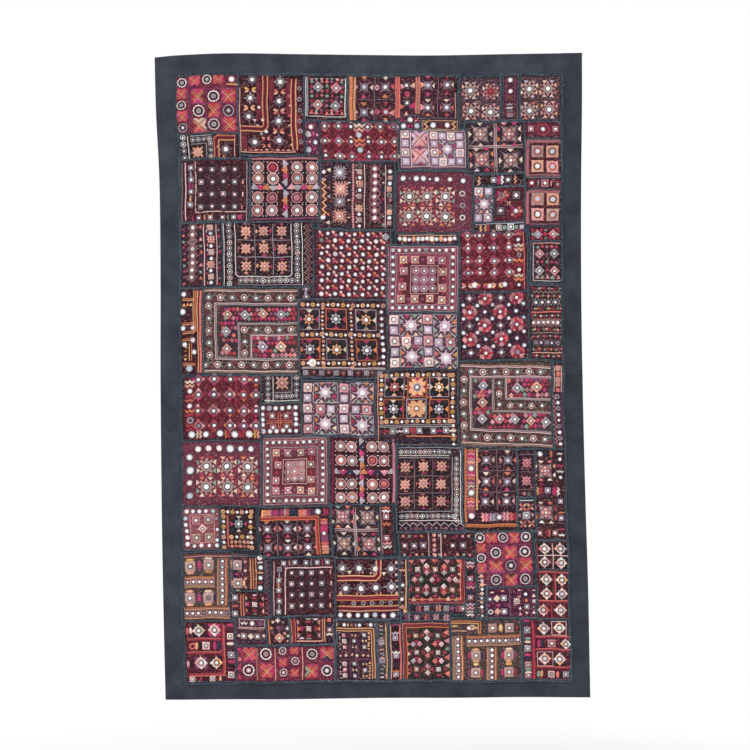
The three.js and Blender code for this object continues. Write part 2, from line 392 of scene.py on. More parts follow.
# ----------------------------------------------------------
# Stitching. Every patch is a thick pad of old cotton worked all over in silk floss: buttonhole
# rings that hold small mirrors, satin-stitched shapes, and couched cords between them. Each
# kind of stitch is laid down as rows of numbers in flat-cloth millimetres and sewn on at once.
#
# Dyes: w white, e cream, k salmon, c coral, p rose, P pale pink, m magenta, r crimson, R bright
# crimson, f dark crimson, x maroon, o orange, y gold, j peach, a tan, u brown, h dusty pink,
# z old rose, q mauve, l lilac, v plum, d aubergine, b black, n navy, s slate, g grey, t mint;
# 1 to 5 are the couched wools. FOOT and BELOW are how far the foot and the underside of a
# stitch sink into the cloth, LAP how far a patch laps over its neighbours, PUFF_RISE and
# PUFF_REACH how high and how soon its padding rises, and COTTON_GAIN makes up for the dark
# flecks on its cotton.

DYES = {
    "w": "#efe8e4", "e": "#e1ccb8", "k": "#e4a792", "c": "#d37068", "p": "#d6949a", "P": "#ebc5c2",
    "m": "#bb3a6c", "r": "#a63648", "o": "#d77f55", "y": "#dba75a", "g": "#aea7b0", "l": "#cdb4c9",
    "v": "#85486a", "n": "#262c46", "t": "#849c8c", "b": "#181316", "u": "#6f3f2c", "a": "#b49180",
    "s": "#5d6b74", "d": "#35222c", "z": "#b3757f", "q": "#836f7a",
    "x": "#5a222c", "j": "#ebaf80", "f": "#762639", "h": "#c09a96", "R": "#cb4a5b",
    "1": "#434f5a", "2": "#5f6e79", "3": "#343f49", "4": "#9dabb4", "5": "#5b5f76"}
LETTERS = "".join(DYES)
PALETTE = np.array([linear(DYES[letter])[:3] for letter in LETTERS])
TAU = 2 * math.pi
chance = np.random.default_rng(7)
rings, pads, cords, glass, mirrors, outlines, sewn_on = {}, {}, [], [], [], [], []
FOOT = -0.6
BELOW = -0.8
LAP = 1.2
COTTON_GAIN = 1.38
PUFF_RISE, PUFF_REACH = 1.5, 4.5
MIRROR_SIDES = 10


def star_points(points, dent):
    """A closed outline of 2 x points corners whose radius goes between 1 and dent."""
    turn = np.arange(2 * points) * TAU / (2 * points)
    radius = np.where(np.arange(2 * points) % 2, dent, 1.0)
    return np.stack([radius * np.cos(turn), radius * np.sin(turn)], 1)


def even_sides(corners, turn, radius=1.0):
    """A regular outline, its first corner at turn degrees."""
    angle = math.radians(turn) + np.arange(corners) * TAU / corners
    return radius * np.stack([np.cos(angle), np.sin(angle)], 1)


def petal_points(petals):
    """A round flower outline: three corners a petal, pinched between petals."""
    turn = np.arange(3 * petals) * TAU / (3 * petals)
    radius = np.where(np.arange(3 * petals) % 3, 1.0, 0.72)
    return np.stack([radius * np.cos(turn), radius * np.sin(turn)], 1)


SHAPES = {
    "diamond": even_sides(4, 0), "square": even_sides(4, 45, 1.414), "up": even_sides(3, -90, 1.15),
    "hexagon": even_sides(6, 0), "disc": even_sides(10, 0), "star": star_points(8, 0.62),
    "flower": petal_points(8),
    "cross_star": star_points(8, 0.5) * np.where(np.arange(16) % 4 == 2, 0.72, 1.0)[:, None],
    "leaf": np.array([(1, 0), (0.5, 0.85), (-0.5, 0.85), (-1, 0), (-0.5, -0.85), (0.5, -0.85)], float)}


def ring(x, y, inner, outer, dye, rise, sides=14, turn=0.0, lobe=0.0):
    """A buttonhole-stitched ring; lobe scallops its outer edge, and 4 sides make it a frame."""
    rings.setdefault(sides, []).append((x, y, inner, outer, turn, rise, lobe, LETTERS.index(dye)))


def pad(shape, x, y, half_x, half_y, dye, turn=0.0, rise=0.9):
    """A satin-stitched shape, domed in the middle."""
    pads.setdefault(shape, []).append((x, y, half_x, half_y, turn, rise, LETTERS.index(dye)))


def offset(x, y, along, aside, turn):
    """A place some way along and aside from another, in a frame turned by turn degrees."""
    c, s = math.cos(math.radians(turn)), math.sin(math.radians(turn))
    return x + c * along - s * aside, y + s * along + c * aside


def spoke(shape, x, y, s, turn, reach, half_x, half_y, dye, turned=0, rise=0.9, aside=0.0):
    """A satin-stitched shape at turn degrees round a middle, lying turned from that spoke. Its
    reach, half sizes and step aside are shares of s."""
    pad(shape, *offset(x, y, s * reach, s * aside, turn), s * half_x, s * half_y, dye, turn + turned, rise)


def spaced(x0, y0, x1, y1, count):
    """Places evenly apart from one point to another."""
    return zip(np.linspace(x0, x1, count), np.linspace(y0, y1, count))


def fitting(x0, y0, x1, y1, pitch):
    """How many things fit at about a pitch between two points, one of them at each."""
    return max(2, round(math.hypot(x1 - x0, y1 - y0) / pitch) + 1)


def cord(path, width, dye, rise=None, closed=False):
    """A couched cord or a run of chain stitch along a path of points."""
    cords.append((np.array(path, float), width, min(width * 0.5, 1.5) if rise is None else rise,
                  LETTERS.index(dye), closed))


def drift(across, down):
    """Nothing in old hand work lies quite straight: lines wander by a millimetre or two."""
    return (across + 1.1 * np.sin(down / 37 + 0.7) + 0.6 * np.sin(down / 13 + across / 31),
            down + 1.1 * np.sin(across / 41 + 2) + 0.6 * np.sin(across / 12 + down / 29))


def floss(name, contrast):
    """Dyed silk floss in satin and chain stitch, or couched wool, whose strands differ more: fine
    strands that catch a soft sheen. They are drawn 1.4 mm wide, three times the real ones, so
    that they show at arm's length."""
    material, tree, output = finish_material(name)
    dye = add(tree, "ShaderNodeAttribute", attribute_name="dye")
    way = add(tree, "ShaderNodeUVMap", uv_map="stitch")
    strand = add(tree, "ShaderNodeMapping", {0: way.outputs[0]}, Scale=(1 / 1.4, 0.14, 1.0))
    lay = add(tree, "ShaderNodeTexNoise", {0: strand.outputs[0]}, Scale=1.0, Detail=1.5)
    shade = add(tree, "ShaderNodeMapRange", {"Value": lay.outputs[0]},
                From_Min=0.32, From_Max=0.68, To_Min=1.0 - contrast, To_Max=1.0 + contrast * 0.6)
    body = add(tree, "ShaderNodeVectorMath", {0: dye.outputs["Color"], "Scale": shade.outputs[0]},
               operation="SCALE")
    bump = add(tree, "ShaderNodeBump", {"Height": lay.outputs[0]}, Strength=0.7, Distance=0.0007)
    shader = add(tree, "ShaderNodeBsdfPrincipled",
                 {"Base Color": body.outputs[0], "Normal": bump.outputs[0]},
                 Roughness=0.6, Sheen_Weight=0.04, Sheen_Roughness=0.4, Specular_IOR_Level=0.22)
    tree.links.new(shader.outputs[0], output.inputs["Surface"])
    return material


def worked_cotton():
    """Old block-dyed cotton worked all over in small flat stitches: the eye gets flecks of many
    faded dyes on the dark cloth. The flecks are cells 3 mm wide, about the real stitch length."""
    material, tree, output = finish_material("worked_patch_cotton")
    dye = add(tree, "ShaderNodeAttribute", attribute_name="dye")
    place = add(tree, "ShaderNodeUVMap", uv_map="stitch")
    slant = add(tree, "ShaderNodeMapping", {0: place.outputs[0]},
                Rotation=(0, 0, 0.7), Scale=(0.3, 0.52, 1.0))
    cells = add(tree, "ShaderNodeTexVoronoi", {0: slant.outputs[0]}, Scale=1.0)
    part = add(tree, "ShaderNodeSeparateColor", {0: cells.outputs["Color"]})
    fleck = add(tree, "ShaderNodeValToRGB", {0: part.outputs[0]})
    ramp = fleck.color_ramp
    ramp.interpolation = "CONSTANT"
    flecks = ((0, "#5c1f2c"), (0.2, "#8d4a58"), (0.34, "#1c1519"), (0.55, "#c27a78"), (0.66, "#7b5b6d"),
              (0.76, "#a85a3a"), (0.84, "#3c4450"), (0.92, "#c9a293"))
    for spot, colour in flecks[2:]:
        ramp.elements.new(spot)
    for element, (spot, colour) in zip(ramp.elements, flecks):
        element.position = spot
        element.color = linear(colour)
    cover = add(tree, "ShaderNodeMapRange", {"Value": part.outputs[1]},
                From_Min=0.55, From_Max=0.6, To_Min=0.0, To_Max=0.42)
    grain = add(tree, "ShaderNodeTexNoise", {0: place.outputs[0]}, Scale=0.45, Detail=3.0)
    shade = add(tree, "ShaderNodeMapRange", {"Value": grain.outputs[0]},
                From_Min=0.32, From_Max=0.68, To_Min=0.55, To_Max=1.3)
    flecked = add(tree, "ShaderNodeMix", {0: cover.outputs[0], 6: dye.outputs["Color"], 7: fleck.outputs[0]},
                  data_type="RGBA")
    body = add(tree, "ShaderNodeVectorMath", {0: flecked.outputs[2], "Scale": shade.outputs[0]},
               operation="SCALE")
    bump = add(tree, "ShaderNodeBump", {"Height": cells.outputs["Distance"]}, Strength=0.6, Distance=0.0006)
    bump.invert = True
    shader = add(tree, "ShaderNodeBsdfPrincipled",
                 {"Base Color": body.outputs[0], "Normal": bump.outputs[0]},
                 Roughness=0.85, Specular_IOR_Level=0.15)
    tree.links.new(shader.outputs[0], output.inputs["Surface"])
    return material


silk_floss = floss("dyed_silk_floss", 0.38)
patch_cotton = worked_cotton()
wool_yarn = floss("couched_wool_yarn", 0.45)


def height_in(box, across, down):
    """How high a patch's face stands: thin at its sewn-down edge, then a padded rise."""
    x0, x1, y0, y1 = box
    near = np.minimum(np.minimum(across - x0, x1 - across), np.minimum(down - y0, y1 - down))
    puff = 1 - np.exp(-np.clip(near, 0, None) / PUFF_REACH)
    wave = 0.3 * np.sin(across / 9.5 + 2 * np.sin(down / 27)) * np.sin(down / 11.5 + 1)
    return PANEL_THICKNESS + 0.1 + (PUFF_RISE + wave) * puff


def shaded(rows_dye):
    """A palette colour for each row, a little lighter or darker every time, as floss is."""
    tone = 1.05 + 0.13 * chance.standard_normal((len(rows_dye), 1))
    warm = 1 + 0.03 * chance.standard_normal((len(rows_dye), 3))
    return np.clip(PALETTE[rows_dye.astype(int)] * tone * warm, 0.004, 1)


def ring_arrays(sides, rows):
    """Rings as one set of arrays: a four-point section (foot, crest, crest, foot) turned about
    each centre. Gives places, heights, faces, a colour a point and the stitch map a corner."""
    rows = np.array(rows, float)
    x, y, inner, outer, turn, rise, lobe = (rows[:, i, None, None] for i in range(7))
    angle = (np.radians(turn) + np.arange(sides) * TAU / sides)
    share = np.array([0.0, 0.26, 0.74, 1.0])[None, :, None]
    lift = np.array([FOOT, 1.0, 1.0, FOOT])[None, :, None]
    wave = 1 + lobe * np.where(np.arange(sides) % 2, -1, 1) * share
    radius = (inner + (outer - inner) * share) * wave
    places = np.stack([x + radius * np.cos(angle), y + radius * np.sin(angle)], -1)
    heights = np.broadcast_to(np.where(lift > 0, rise * lift, lift), radius.shape)
    j, i = np.meshgrid(np.arange(4), np.arange(sides), indexing="ij")
    nxt, far = (i + 1) % sides, (j + 1) % 4
    face = np.stack([j * sides + i, far * sides + i, far * sides + nxt, j * sides + nxt], -1).reshape(-1, 4)
    faces = face[None] + (np.arange(len(rows)) * 4 * sides)[:, None, None]
    u = np.stack([i, i, i + 1, i + 1], -1).reshape(-1, 4)[None] * (outer * TAU / sides)
    v = np.stack([j, j + 1, j + 1, j], -1).reshape(-1, 4)[None] * ((outer - inner) / 3)
    under = np.broadcast_to((j == 3).reshape(-1)[None], faces.shape[:2])
    return places, heights, faces, shaded(rows[:, 7]), np.stack([u + 0 * v, v + 0 * u], -1), under


def pad_arrays(shape, rows):
    """Padded shapes as one set of arrays: an outline at the cloth, a smaller one at the crest, and
    a middle point above and below."""
    rows = np.array(rows, float)
    corner = SHAPES[shape]
    count = len(corner)
    x, y, half_x, half_y, turn, rise = (rows[:, i, None] for i in range(6))
    inset = 1 - np.clip(0.9 / np.minimum(half_x, half_y), 0.12, 0.45)
    own = np.concatenate([corner, corner, [(0, 0), (0, 0)]])
    scale = np.concatenate([np.ones((len(rows), count)), np.repeat(inset, count, 1),
                            np.zeros((len(rows), 2))], 1)
    local_x, local_y = own[:, 0] * half_x * scale, own[:, 1] * half_y * scale
    c, s = np.cos(np.radians(turn)), np.sin(np.radians(turn))
    places = np.stack([x + c * local_x - s * local_y, y + s * local_x + c * local_y], -1)
    heights = np.concatenate([np.full((len(rows), count), FOOT), np.repeat(rise * 0.8, count, 1),
                              rise * 1.1, 0 * rise + BELOW], 1)
    i = np.arange(count)
    nxt = (i + 1) % count
    wall = np.stack([i, nxt, nxt + count, i + count], 1)
    top = np.stack([i + count, nxt + count, 0 * i + 2 * count], 1)
    base = np.stack([nxt, i, 0 * i + 2 * count + 1], 1)
    first = (np.arange(len(rows)) * (2 * count + 2))[:, None, None]
    local = np.stack([local_x, local_y], -1)
    return (places, heights, [wall + first, top + first, base + first], shaded(rows[:, 6]),
            [local[:, part] for part in (wall, top, base)])


def cord_arrays(path, width, rise, dye, closed):
    """A cord as a rounded section carried along a path, mitred at its corners."""
    ahead = np.roll(path, -1, 0) - path
    back = path - np.roll(path, 1, 0)
    if not closed:
        ahead[-1], back[0] = back[-1], ahead[0]
    ahead /= np.maximum(np.hypot(*ahead.T), 1e-6)[:, None]
    back /= np.maximum(np.hypot(*back.T), 1e-6)[:, None]
    middle = ahead + back
    middle /= np.maximum(np.hypot(*middle.T), 0.3)[:, None]
    side = np.stack([-middle[:, 1], middle[:, 0]], 1)
    reach = 1 / np.clip((middle * ahead).sum(1), 0.55, 1)
    aside = np.array([-0.5, -0.3, 0.3, 0.5]) * width
    lift = np.array([FOOT, rise, rise, FOOT])
    places = path[:, None] + side[:, None] * (aside[None, :, None] * reach[:, None, None])
    heights = np.broadcast_to(lift, places.shape[:2])
    steps = len(path)
    spans = steps if closed else steps - 1
    i, j = np.meshgrid(np.arange(spans), np.arange(4), indexing="ij")
    nxt, far = (i + 1) % steps, (j + 1) % 4
    face = np.stack([i * 4 + j, nxt * 4 + j, nxt * 4 + far, i * 4 + far], -1).reshape(-1, 4)
    length = np.concatenate([[0], np.cumsum(np.hypot(*(np.roll(path, -1, 0) - path).T))])
    u = np.stack([length[i], length[i + 1], length[i + 1], length[i]], -1).reshape(-1, 4)
    v = np.stack([j, j, j + 1, j + 1], -1).reshape(-1, 4) * width / 3
    under = (j == 3).reshape(-1)
    if not closed:
        ends = np.array([[3, 2, 1, 0], [0, 1, 2, 3]]) + np.array([[0], [(steps - 1) * 4]])
        face = np.concatenate([face, ends])
        u = np.concatenate([u, np.zeros((2, 4))])
        v = np.concatenate([v, np.array([[3, 2, 1, 0], [0, 1, 2, 3]]) * width / 3])
        under = np.concatenate([under, [True, True]])
    return places, heights, face, shaded(np.array([dye])), np.stack([u, v + 0.6 * u], -1), under


def gather():
    """Puts the waiting stitches together: places, heights, corners, face sizes, colours, maps."""
    spots, lifts, corners, sizes, colours, ways, hidden = [], [], [], [], [], [], []
    first = 0

    def keep(places, heights, groups, colour, maps, below):
        """Takes in one set of arrays, its strands starting at a new spot in every stitch."""
        nonlocal first
        rows = len(colour)
        each = heights.size // rows
        spots.append(places.reshape(-1, 2))
        lifts.append(np.asarray(heights).ravel())
        colours.append(np.repeat(colour, each, 0))
        start = chance.uniform(0, 60, (rows, 1, 1, 2))
        for faces, way, under in zip(groups, maps, below):
            corners.append((faces + first).reshape(-1))
            sizes.append(np.full(faces.size // faces.shape[-1], faces.shape[-1]))
            ways.append((way.reshape(rows, -1, faces.shape[-1], 2) + start).reshape(-1, 2))
            hidden.append(np.repeat(np.broadcast_to(under, faces.shape[:-1]).ravel(), faces.shape[-1]))
        first += heights.size

    for sides, rows in rings.items():
        places, heights, faces, colour, way, under = ring_arrays(sides, rows)
        keep(places, heights, [faces], colour, [way], [under])
    for shape, rows in pads.items():
        places, heights, groups, colour, maps = pad_arrays(shape, rows)
        keep(places, heights, groups, colour, maps, [False, False, True])
    for path in cords:
        places, heights, faces, colour, way, under = cord_arrays(*path)
        keep(places, heights, [faces], colour, [way], [under])
    rings.clear()
    pads.clear()
    cords.clear()
    outward = [np.concatenate(part)[::-1] for part in (corners, sizes, ways, hidden)]
    return [np.concatenate(part) for part in (spots, lifts, colours)] + outward


def scatter(x0, x1, y0, y1, dyes, pitch):
    """Fills what cloth still shows with small seed stitches on a loose grid, aslant both ways."""
    x, y = np.meshgrid(np.arange(x0 + pitch, x1 - 2, pitch), np.arange(y0 + pitch, y1 - 2, pitch))
    x = x.ravel() + pitch * chance.uniform(-0.32, 0.32, x.size)
    y = y.ravel() + pitch * chance.uniform(-0.32, 0.32, y.size)
    worked = [(a, b, c) for rows in rings.values() for a, b, _, c, *_ in rows]
    worked += [(a, b, (c + d) / 2) for rows in pads.values() for a, b, c, d, *_ in rows]
    worked += [(a, b, 1.5) for path, *_ in cords for a, b in path]
    taken = np.array(worked, float)
    near = np.hypot(x[:, None] - taken[:, 0], y[:, None] - taken[:, 1]) < taken[:, 2] + 0.6
    free = ~near.any(1)
    for a, b in zip(x[free], y[free]):
        turn = chance.choice([45.0, -45.0]) + 12 * chance.standard_normal()
        pad("diamond", a, b, 2.9, 1.5, dyes[chance.integers(len(dyes))], turn, 0.6)


def sew(name, x0, x1, y0, y1, ground, seeds="kdrvgvzd", pitch=8):
    """Sews one patch on: its padded cotton of the ground colour, darkened by painted shade towards its
    sewn-down edge, its seed stitches, everything stitched since the last patch, and its mirrors.
    It laps a little over its neighbours."""
    scatter(x0, x1, y0, y1, seeds, pitch)
    x0, x1, y0, y1 = box = x0 - LAP, x1 + LAP, y0 - LAP, y1 + LAP

    def settle(across, down, lift):
        """Places on the hanging cloth, lifted off this patch's face."""
        return hang(*drift(across, down), height_in(box, across, down) + lift)

    def spread(start, end):
        """Steps from one edge to the other, closest near the edges."""
        t = np.linspace(0, 1, int((end - start) / 6.5) + 5)
        return start + (end - start) * (t - 0.085 * np.sin(TAU * t))

    def laid_out(points_across, points_down, below):
        """Where things lie in the OFBake map: what faces out at the left, what faces in at the right."""
        u = (points_across - x0) / (x1 - x0) * 0.74
        v = (points_down - y0) / (y1 - y0) * 0.96 + 0.02
        return np.stack([np.where(below, 0.76 + u * 0.32, 0.01 + u), v], 1)

    across, down = np.meshgrid(spread(x0, x1), spread(y0, y1))
    edge = height_in(box, across, down) - PANEL_THICKNESS
    points = settle(across, down, 0 * across)
    face, rim = grid_faces(*across.shape)
    middle = [(x0 + x1) / 2, (y0 + y1) / 2]
    centre = hang(*np.array(middle)[:, None], PANEL_THICKNESS - 0.2)
    fan = np.stack([np.roll(rim, -1), rim, np.full(len(rim), across.size)], 1)
    # Painted shade: the ground colour falls to about half where the patch thins at its sewn-down edge, shade
    # painted into the channels between patches. The hidden middle under the patch gets 0.6 of it.
    tone = 0.5 + 0.5 * np.clip(edge / 1.3, 0, 1)
    mottle = 1 + 0.10 * np.sin(across / 7 + down / 11) * np.sin(down / 5 + 1)
    tint = np.concatenate([(tone * mottle).reshape(-1, 1), [[0.6]]]) * np.array(linear(ground)[:3])
    tint = np.concatenate([tint * COTTON_GAIN, np.ones((len(tint), 1))], 1)
    corners = np.concatenate([face.ravel(), fan.ravel()])
    flat = np.concatenate([np.stack([across.ravel(), down.ravel()], 1), [middle]])
    below = np.arange(len(corners)) >= face.size
    maps = {"OFBake": laid_out(*flat[corners].T, below), "stitch": flat[corners]}
    cloth = make_piece(name + "_cloth", np.concatenate([points.reshape(-1, 3), centre]), corners,
                       np.concatenate([np.full(len(face), 4), np.full(len(fan), 3)]), [patch_cotton],
                       tint, maps)
    spots, lifts, colours, corners, sizes, ways, hidden = gather()
    tint = np.concatenate([colours, np.ones((len(colours), 1))], 1)
    maps = {"OFBake": laid_out(*spots[corners].T, hidden), "stitch": ways}
    stitching = make_piece(name + "_stitching", settle(*spots.T, lifts), corners, sizes, [silk_floss],
                           tint, maps)
    sewn_on.extend([cloth, stitching])
    if glass:
        x, y, radius, kind, rise = np.array(glass, float).T[:, :, None]
        turn = np.arange(MIRROR_SIDES) * TAU / MIRROR_SIDES + chance.uniform(0, 1, (len(x), 1))
        tip = 0.06 * chance.standard_normal((2, len(x), 1))
        rim_x, rim_y = x + radius * np.cos(turn), y + radius * np.sin(turn)
        lift = rise + tip[0] * radius * np.cos(turn) + tip[1] * radius * np.sin(turn)
        top = settle(rim_x, rim_y, lift)
        mirrors.append((np.concatenate([top, settle(x, y, 0 * x + BELOW)], 1), kind[:, 0]))
        glass.clear()
    outlines.append(box)


def glint(x, y, radius, tint=None, rise=0.75):
    """A small mirror under the inner edge of its ring: 0 is bright, 1 has a painted bluish reflection, 2 is
    dulled by tarnish and a painted darker reflection.
    """
    tint = chance.choice(3, p=[0.92, 0.05, 0.03]) if tint is None else tint
    glass.append((x, y, radius, tint, rise))


def shisha(x, y, s, dye, turn):
    """A mirror in a buttonhole ring, drawn in by a dark outer thread."""
    dye = "gqzgP"[chance.integers(5)] if dye[0] == "w" else dye[0]
    ring(x, y, s * 0.84, s * 1.02, "d", 0.8, sides=10)
    ring(x, y, s * 0.5, s * 0.84, dye, 1.2, lobe=0.04)
    glint(x, y, s * 0.54)


def dull_shisha(x, y, s, dye, turn):
    """A ring that has lost its mirror, with a little mauve ring in its place."""
    ring(x, y, s * 0.5, s * 0.9, dye[0], 1.2, lobe=0.04)
    ring(x, y, s * 0.08, s * 0.34, "q", 0.8, sides=8)


def eye(x, y, s, dye, turn):
    """A broad scalloped ring, a black one, a small one, and a fleck of mirror."""
    ring(x, y, s * 0.7, s * 0.92, dye[0], 1.3, sides=24, lobe=0.07)
    ring(x, y, s * 0.48, s * 0.68, "b", 0.7, sides=12)
    ring(x, y, s * 0.2, s * 0.42, "g" if dye[1] == "w" else dye[1], 1.2, lobe=0.05)
    glint(x, y, s * 0.22, chance.choice(3, p=[0.3, 0.1, 0.6]))


def disc_eye(x, y, s, dye, turn):
    """A scalloped ring round a satin disc."""
    ring(x, y, s * 0.72, s, dye[0], 1.3, sides=24, lobe=0.035)
    pad("disc", x, y, s * 0.6, s * 0.6, dye[1])


def boxed(x, y, s, dye, turn):
    """A mirror in a square frame, ringed where a second dye is given."""
    ring(x, y, s * 0.86, s * 1.38, dye[0], 1.1, sides=4, turn=45 + turn)
    if len(dye) > 1:
        ring(x, y, s * 0.36, s * 0.56, dye[1], 1.1, sides=12)
    glint(x, y, s * (0.42 if len(dye) > 1 else 0.5))


def lozenge(x, y, s, dye, turn):
    """A diamond frame round a black ring, a pale ring and a mirror."""
    ring(x, y, s * 0.46, s * 1.16, dye[0], 1.2, sides=4, turn=turn)
    ring(x, y, s * 0.34, s * 0.48, "b", 1.3, sides=8, turn=turn)
    ring(x, y, s * 0.2, s * 0.34, dye[1] if len(dye) > 1 else "w", 1.1, sides=10)
    glint(x, y, s * 0.22)


def star(x, y, s, dye, turn):
    """A star of four long and four short points with a dark one on it, two rings and a mirror."""
    pad("cross_star", x, y, s * 1.32, s * 1.32, "q" if dye[0] == "g" and int(x) % 3 else dye[0], turn, 0.6)
    pad("cross_star", x, y, s * 1.0, s * 1.0, "d", turn, 0.9)
    ring(x, y, s * 0.64, s * 0.76, "q" if dye[0] == "g" else "d", 1.1, sides=12)
    ring(x, y, s * 0.3, s * 0.44, "w", 1.6, sides=12)
    glint(x, y, s * 0.32, rise=1.3)


def cell(x, y, half_x, half_y, s, halo, tips):
    """A small dark-ringed mirror on a leaf of dull satin, with a brighter tip or two."""
    for side in (-1, 1):
        pad("diamond", x + side * half_x, y, half_x * 0.5, half_y * 0.55, "xf"[side > 0], 0, 0.4)
    pad("leaf", x, y, s * 2.2, s * 1.45, halo, 90 * (int(x + y) % 2), 0.8)
    for k, dye in enumerate(tips):
        if dye in LETTERS:
            spoke("up", x, y, s, 90 * k, 1.7, 0.86, 0.6, dye, 90, 1.2)
    ring(x, y, s * 1.0, s * 1.22, "gqzq"[int(x) % 4], 1.4, sides=14)
    ring(x, y, s * 0.52, s * 1.02, "d", 1.5, sides=14)
    glint(x, y, s * 0.58, rise=1.3)


def bloom(x, y, s, dye, turn):
    """A squarish fringed flower: a dark ring and a small pale eye in its middle."""
    pad("flower", x, y, s * 1.05, s * 1.05, dye[0], turn + 22.5, 0.9)
    ring(x, y, s * 0.3, s * 0.5, dye[1] if len(dye) > 1 else "v", 1.7, sides=12)
    ring(x, y, s * 0.06, s * 0.2, "P", 1.6, sides=8)
    for k in range(4):
        spoke("leaf", x, y, s, 45 + 90 * k, 1.05, 0.26, 0.2, dye[0])


def cross(x, y, s, dye, turn):
    """Four wedges of satin stitch, each in two dyes, parted by crossed pairs of thin cords."""
    s = s * 1.14
    for k in range(4):
        wedge = dye[1 + k % 2] if len(dye) < 5 else dye[1 + k]
        spoke("up", x, y, s, turn + 90 * k, 0.6, 0.86, 0.52, wedge, -90)
        if s > 9:
            spoke("up", x, y, s, turn + 90 * k, 0.84, 0.42, 0.22, "xvfr"[(k + int(x)) % 4], -90, 1.3)
    for side, bar in ((-1, "o"), (1, dye[0])):
        for lean in (45, -45):
            spoke("square", x, y, s, turn + lean, 0, 1.26, 0.06, bar, 0, 1.6, side * 0.11)


def plus(x, y, s, dye, turn):
    """Four petals set crosswise."""
    for k in range(4):
        spoke("leaf", x, y, s, turn + 90 * k, 0.55, 0.5, 0.27, dye[k % len(dye)])


def petals(x, y, s, dye, turn):
    """Four petals set cornerwise."""
    plus(x, y, s, dye, turn + 45)


def bow(x, y, s, dye, turn):
    """Two small fans face to face, each of two leaves in different dyes."""
    for side in (-1, 1):
        for k in (-1, 1):
            leaf = dye[(k > 0) % len(dye)]
            spoke("leaf", x, y, s, turn, side * 0.56, 0.46, 0.24, leaf, side * k * 24, 1.1, k * 0.2)


def wings(x, y, s, dye, turn):
    """Two fat leaves side by side."""
    for side, wing in ((-1, dye[0]), (1, dye[-1])):
        spoke("leaf", x, y, s, turn, side * 0.5, 0.5, 0.42, wing, 90)


def squiggle(x, y, s, dye, turn):
    """A thick upright zigzag in one dye, or two or three side by side."""
    for k, one in enumerate(dye):
        aside = s * 0.42 * (2 * k + 1 - len(dye))
        swing = [aside + s * (0.24 if i % 2 else -0.24) for i in range(5)]
        cord([offset(x, y, swing[i], s * (0.5 * i - 1), turn) for i in range(5)], s * 0.46, one)


def chevrons(x, y, s, dye, turn):
    """The same zigzag lying across the strip, as an M."""
    squiggle(x, y, s, dye, turn + 90)


def hexagon(x, y, s, dye, turn):
    """A satin hexagon with a small dark one stitched on it."""
    pad("hexagon", x, y, s, s, dye[0], turn + 90)
    ring(x, y, s * 0.12, s * 0.38, "d", 1.5, sides=6, turn=90)


def plain(shape, turn_by=0.0, wide=1.0, tall=1.0):
    """A motif that is one satin-stitched shape."""
    return lambda x, y, s, dye, turn: pad(shape, x, y, s * wide, s * tall, dye[0], turn + turn_by)


MOTIFS = {
    "o": shisha, "0": dull_shisha, "O": eye, "Q": disc_eye, "B": boxed, "L": lozenge, "*": star,
    "f": bloom, "X": cross, "x": petals, "+": plus, "n": bow, "w": wings, "M": chevrons,
    "s": squiggle, "h": hexagon, "d": plain("diamond"), "q": plain("square", 0, 0.8, 0.8),
    "^": plain("up"), "v": plain("up", 180), "<": plain("up", -90), ">": plain("up", 90),
    "|": plain("square", 90, 0.9, 0.28), ".": plain("disc", 0, 0.4, 0.4), ":": plain("leaf", 0, 1, 0.45)}


def stitch(code, x, y, s, turn=0.0):
    """Works one motif from its code: a kind, its dyes, and its own half size if that differs."""
    if code != "_":
        kind, dye, size = re.fullmatch(r"(.)([a-zPR]*)([\d.]*)", code).groups()
        MOTIFS[kind](x, y, float(size or s), dye, turn)


def row(codes, x0, y0, x1, y1, s, turn=0.0, loose=0.5):
    """Works motifs evenly from one point to another."""
    codes = codes.split()
    for code, (x, y) in zip(codes, spaced(x0, y0, x1, y1, len(codes))):
        stitch(code, x + loose * chance.standard_normal(), y + loose * chance.standard_normal(), s, turn)


def block(rows, x0, y0, x1, y1, s):
    """Works rows of motifs between two corner motifs; rows are parted by a bar in the chart."""
    rows = rows.split("|")
    for codes, y in zip(rows, np.linspace(y0, y1, len(rows))):
        row(codes, x0, y, x1, y, s)


def route(points, step=7.0):
    """A path with enough points to follow the cloth."""
    points = np.array(points, float)
    parts = []
    for start, end in zip(points[:-1], points[1:]):
        count = max(1, round(float(np.hypot(*(end - start))) / step))
        parts.append(start + (end - start) * (np.arange(count) / count)[:, None])
    return np.concatenate(parts + [points[-1:]])


def line(dye, width, *points):
    """A cord through a few points."""
    cord(route(points), width, dye)


def upright(dye, width, across, y0, y1):
    """A cord down the cloth, or one at each of several places across it."""
    for x in np.atleast_1d(across):
        line(dye, width, (x, y0), (x, y1))


def level(dye, width, down, x0, x1):
    """A cord across the cloth, or one at each of several places down it."""
    for y in np.atleast_1d(down):
        line(dye, width, (x0, y), (x1, y))


def twin(dye, width, apart, *points):
    """Two cords side by side, in the same or in two dyes, mitred where they turn."""
    path = np.array(points, float)
    ahead = np.diff(path, axis=0)
    ahead /= np.hypot(*ahead.T)[:, None]
    normal = np.stack([-ahead[:, 1], ahead[:, 0]], 1)
    before, after = np.concatenate([normal[:1], normal]), np.concatenate([normal, normal[-1:]])
    side = (before + after) / (1 + (before * after).sum(1, keepdims=True)) * apart / 2
    cord(route(path + side), width, dye[0])
    cord(route(path - side), width, dye[-1])


def oblong(dye, width, x0, x1, y0, y1):
    """A cord round the four sides of a box."""
    corners = [(x0, y0), (x1, y0), (x1, y1), (x0, y1), (x0, y0)]
    cord(route(corners)[:-1], width, dye, closed=True)


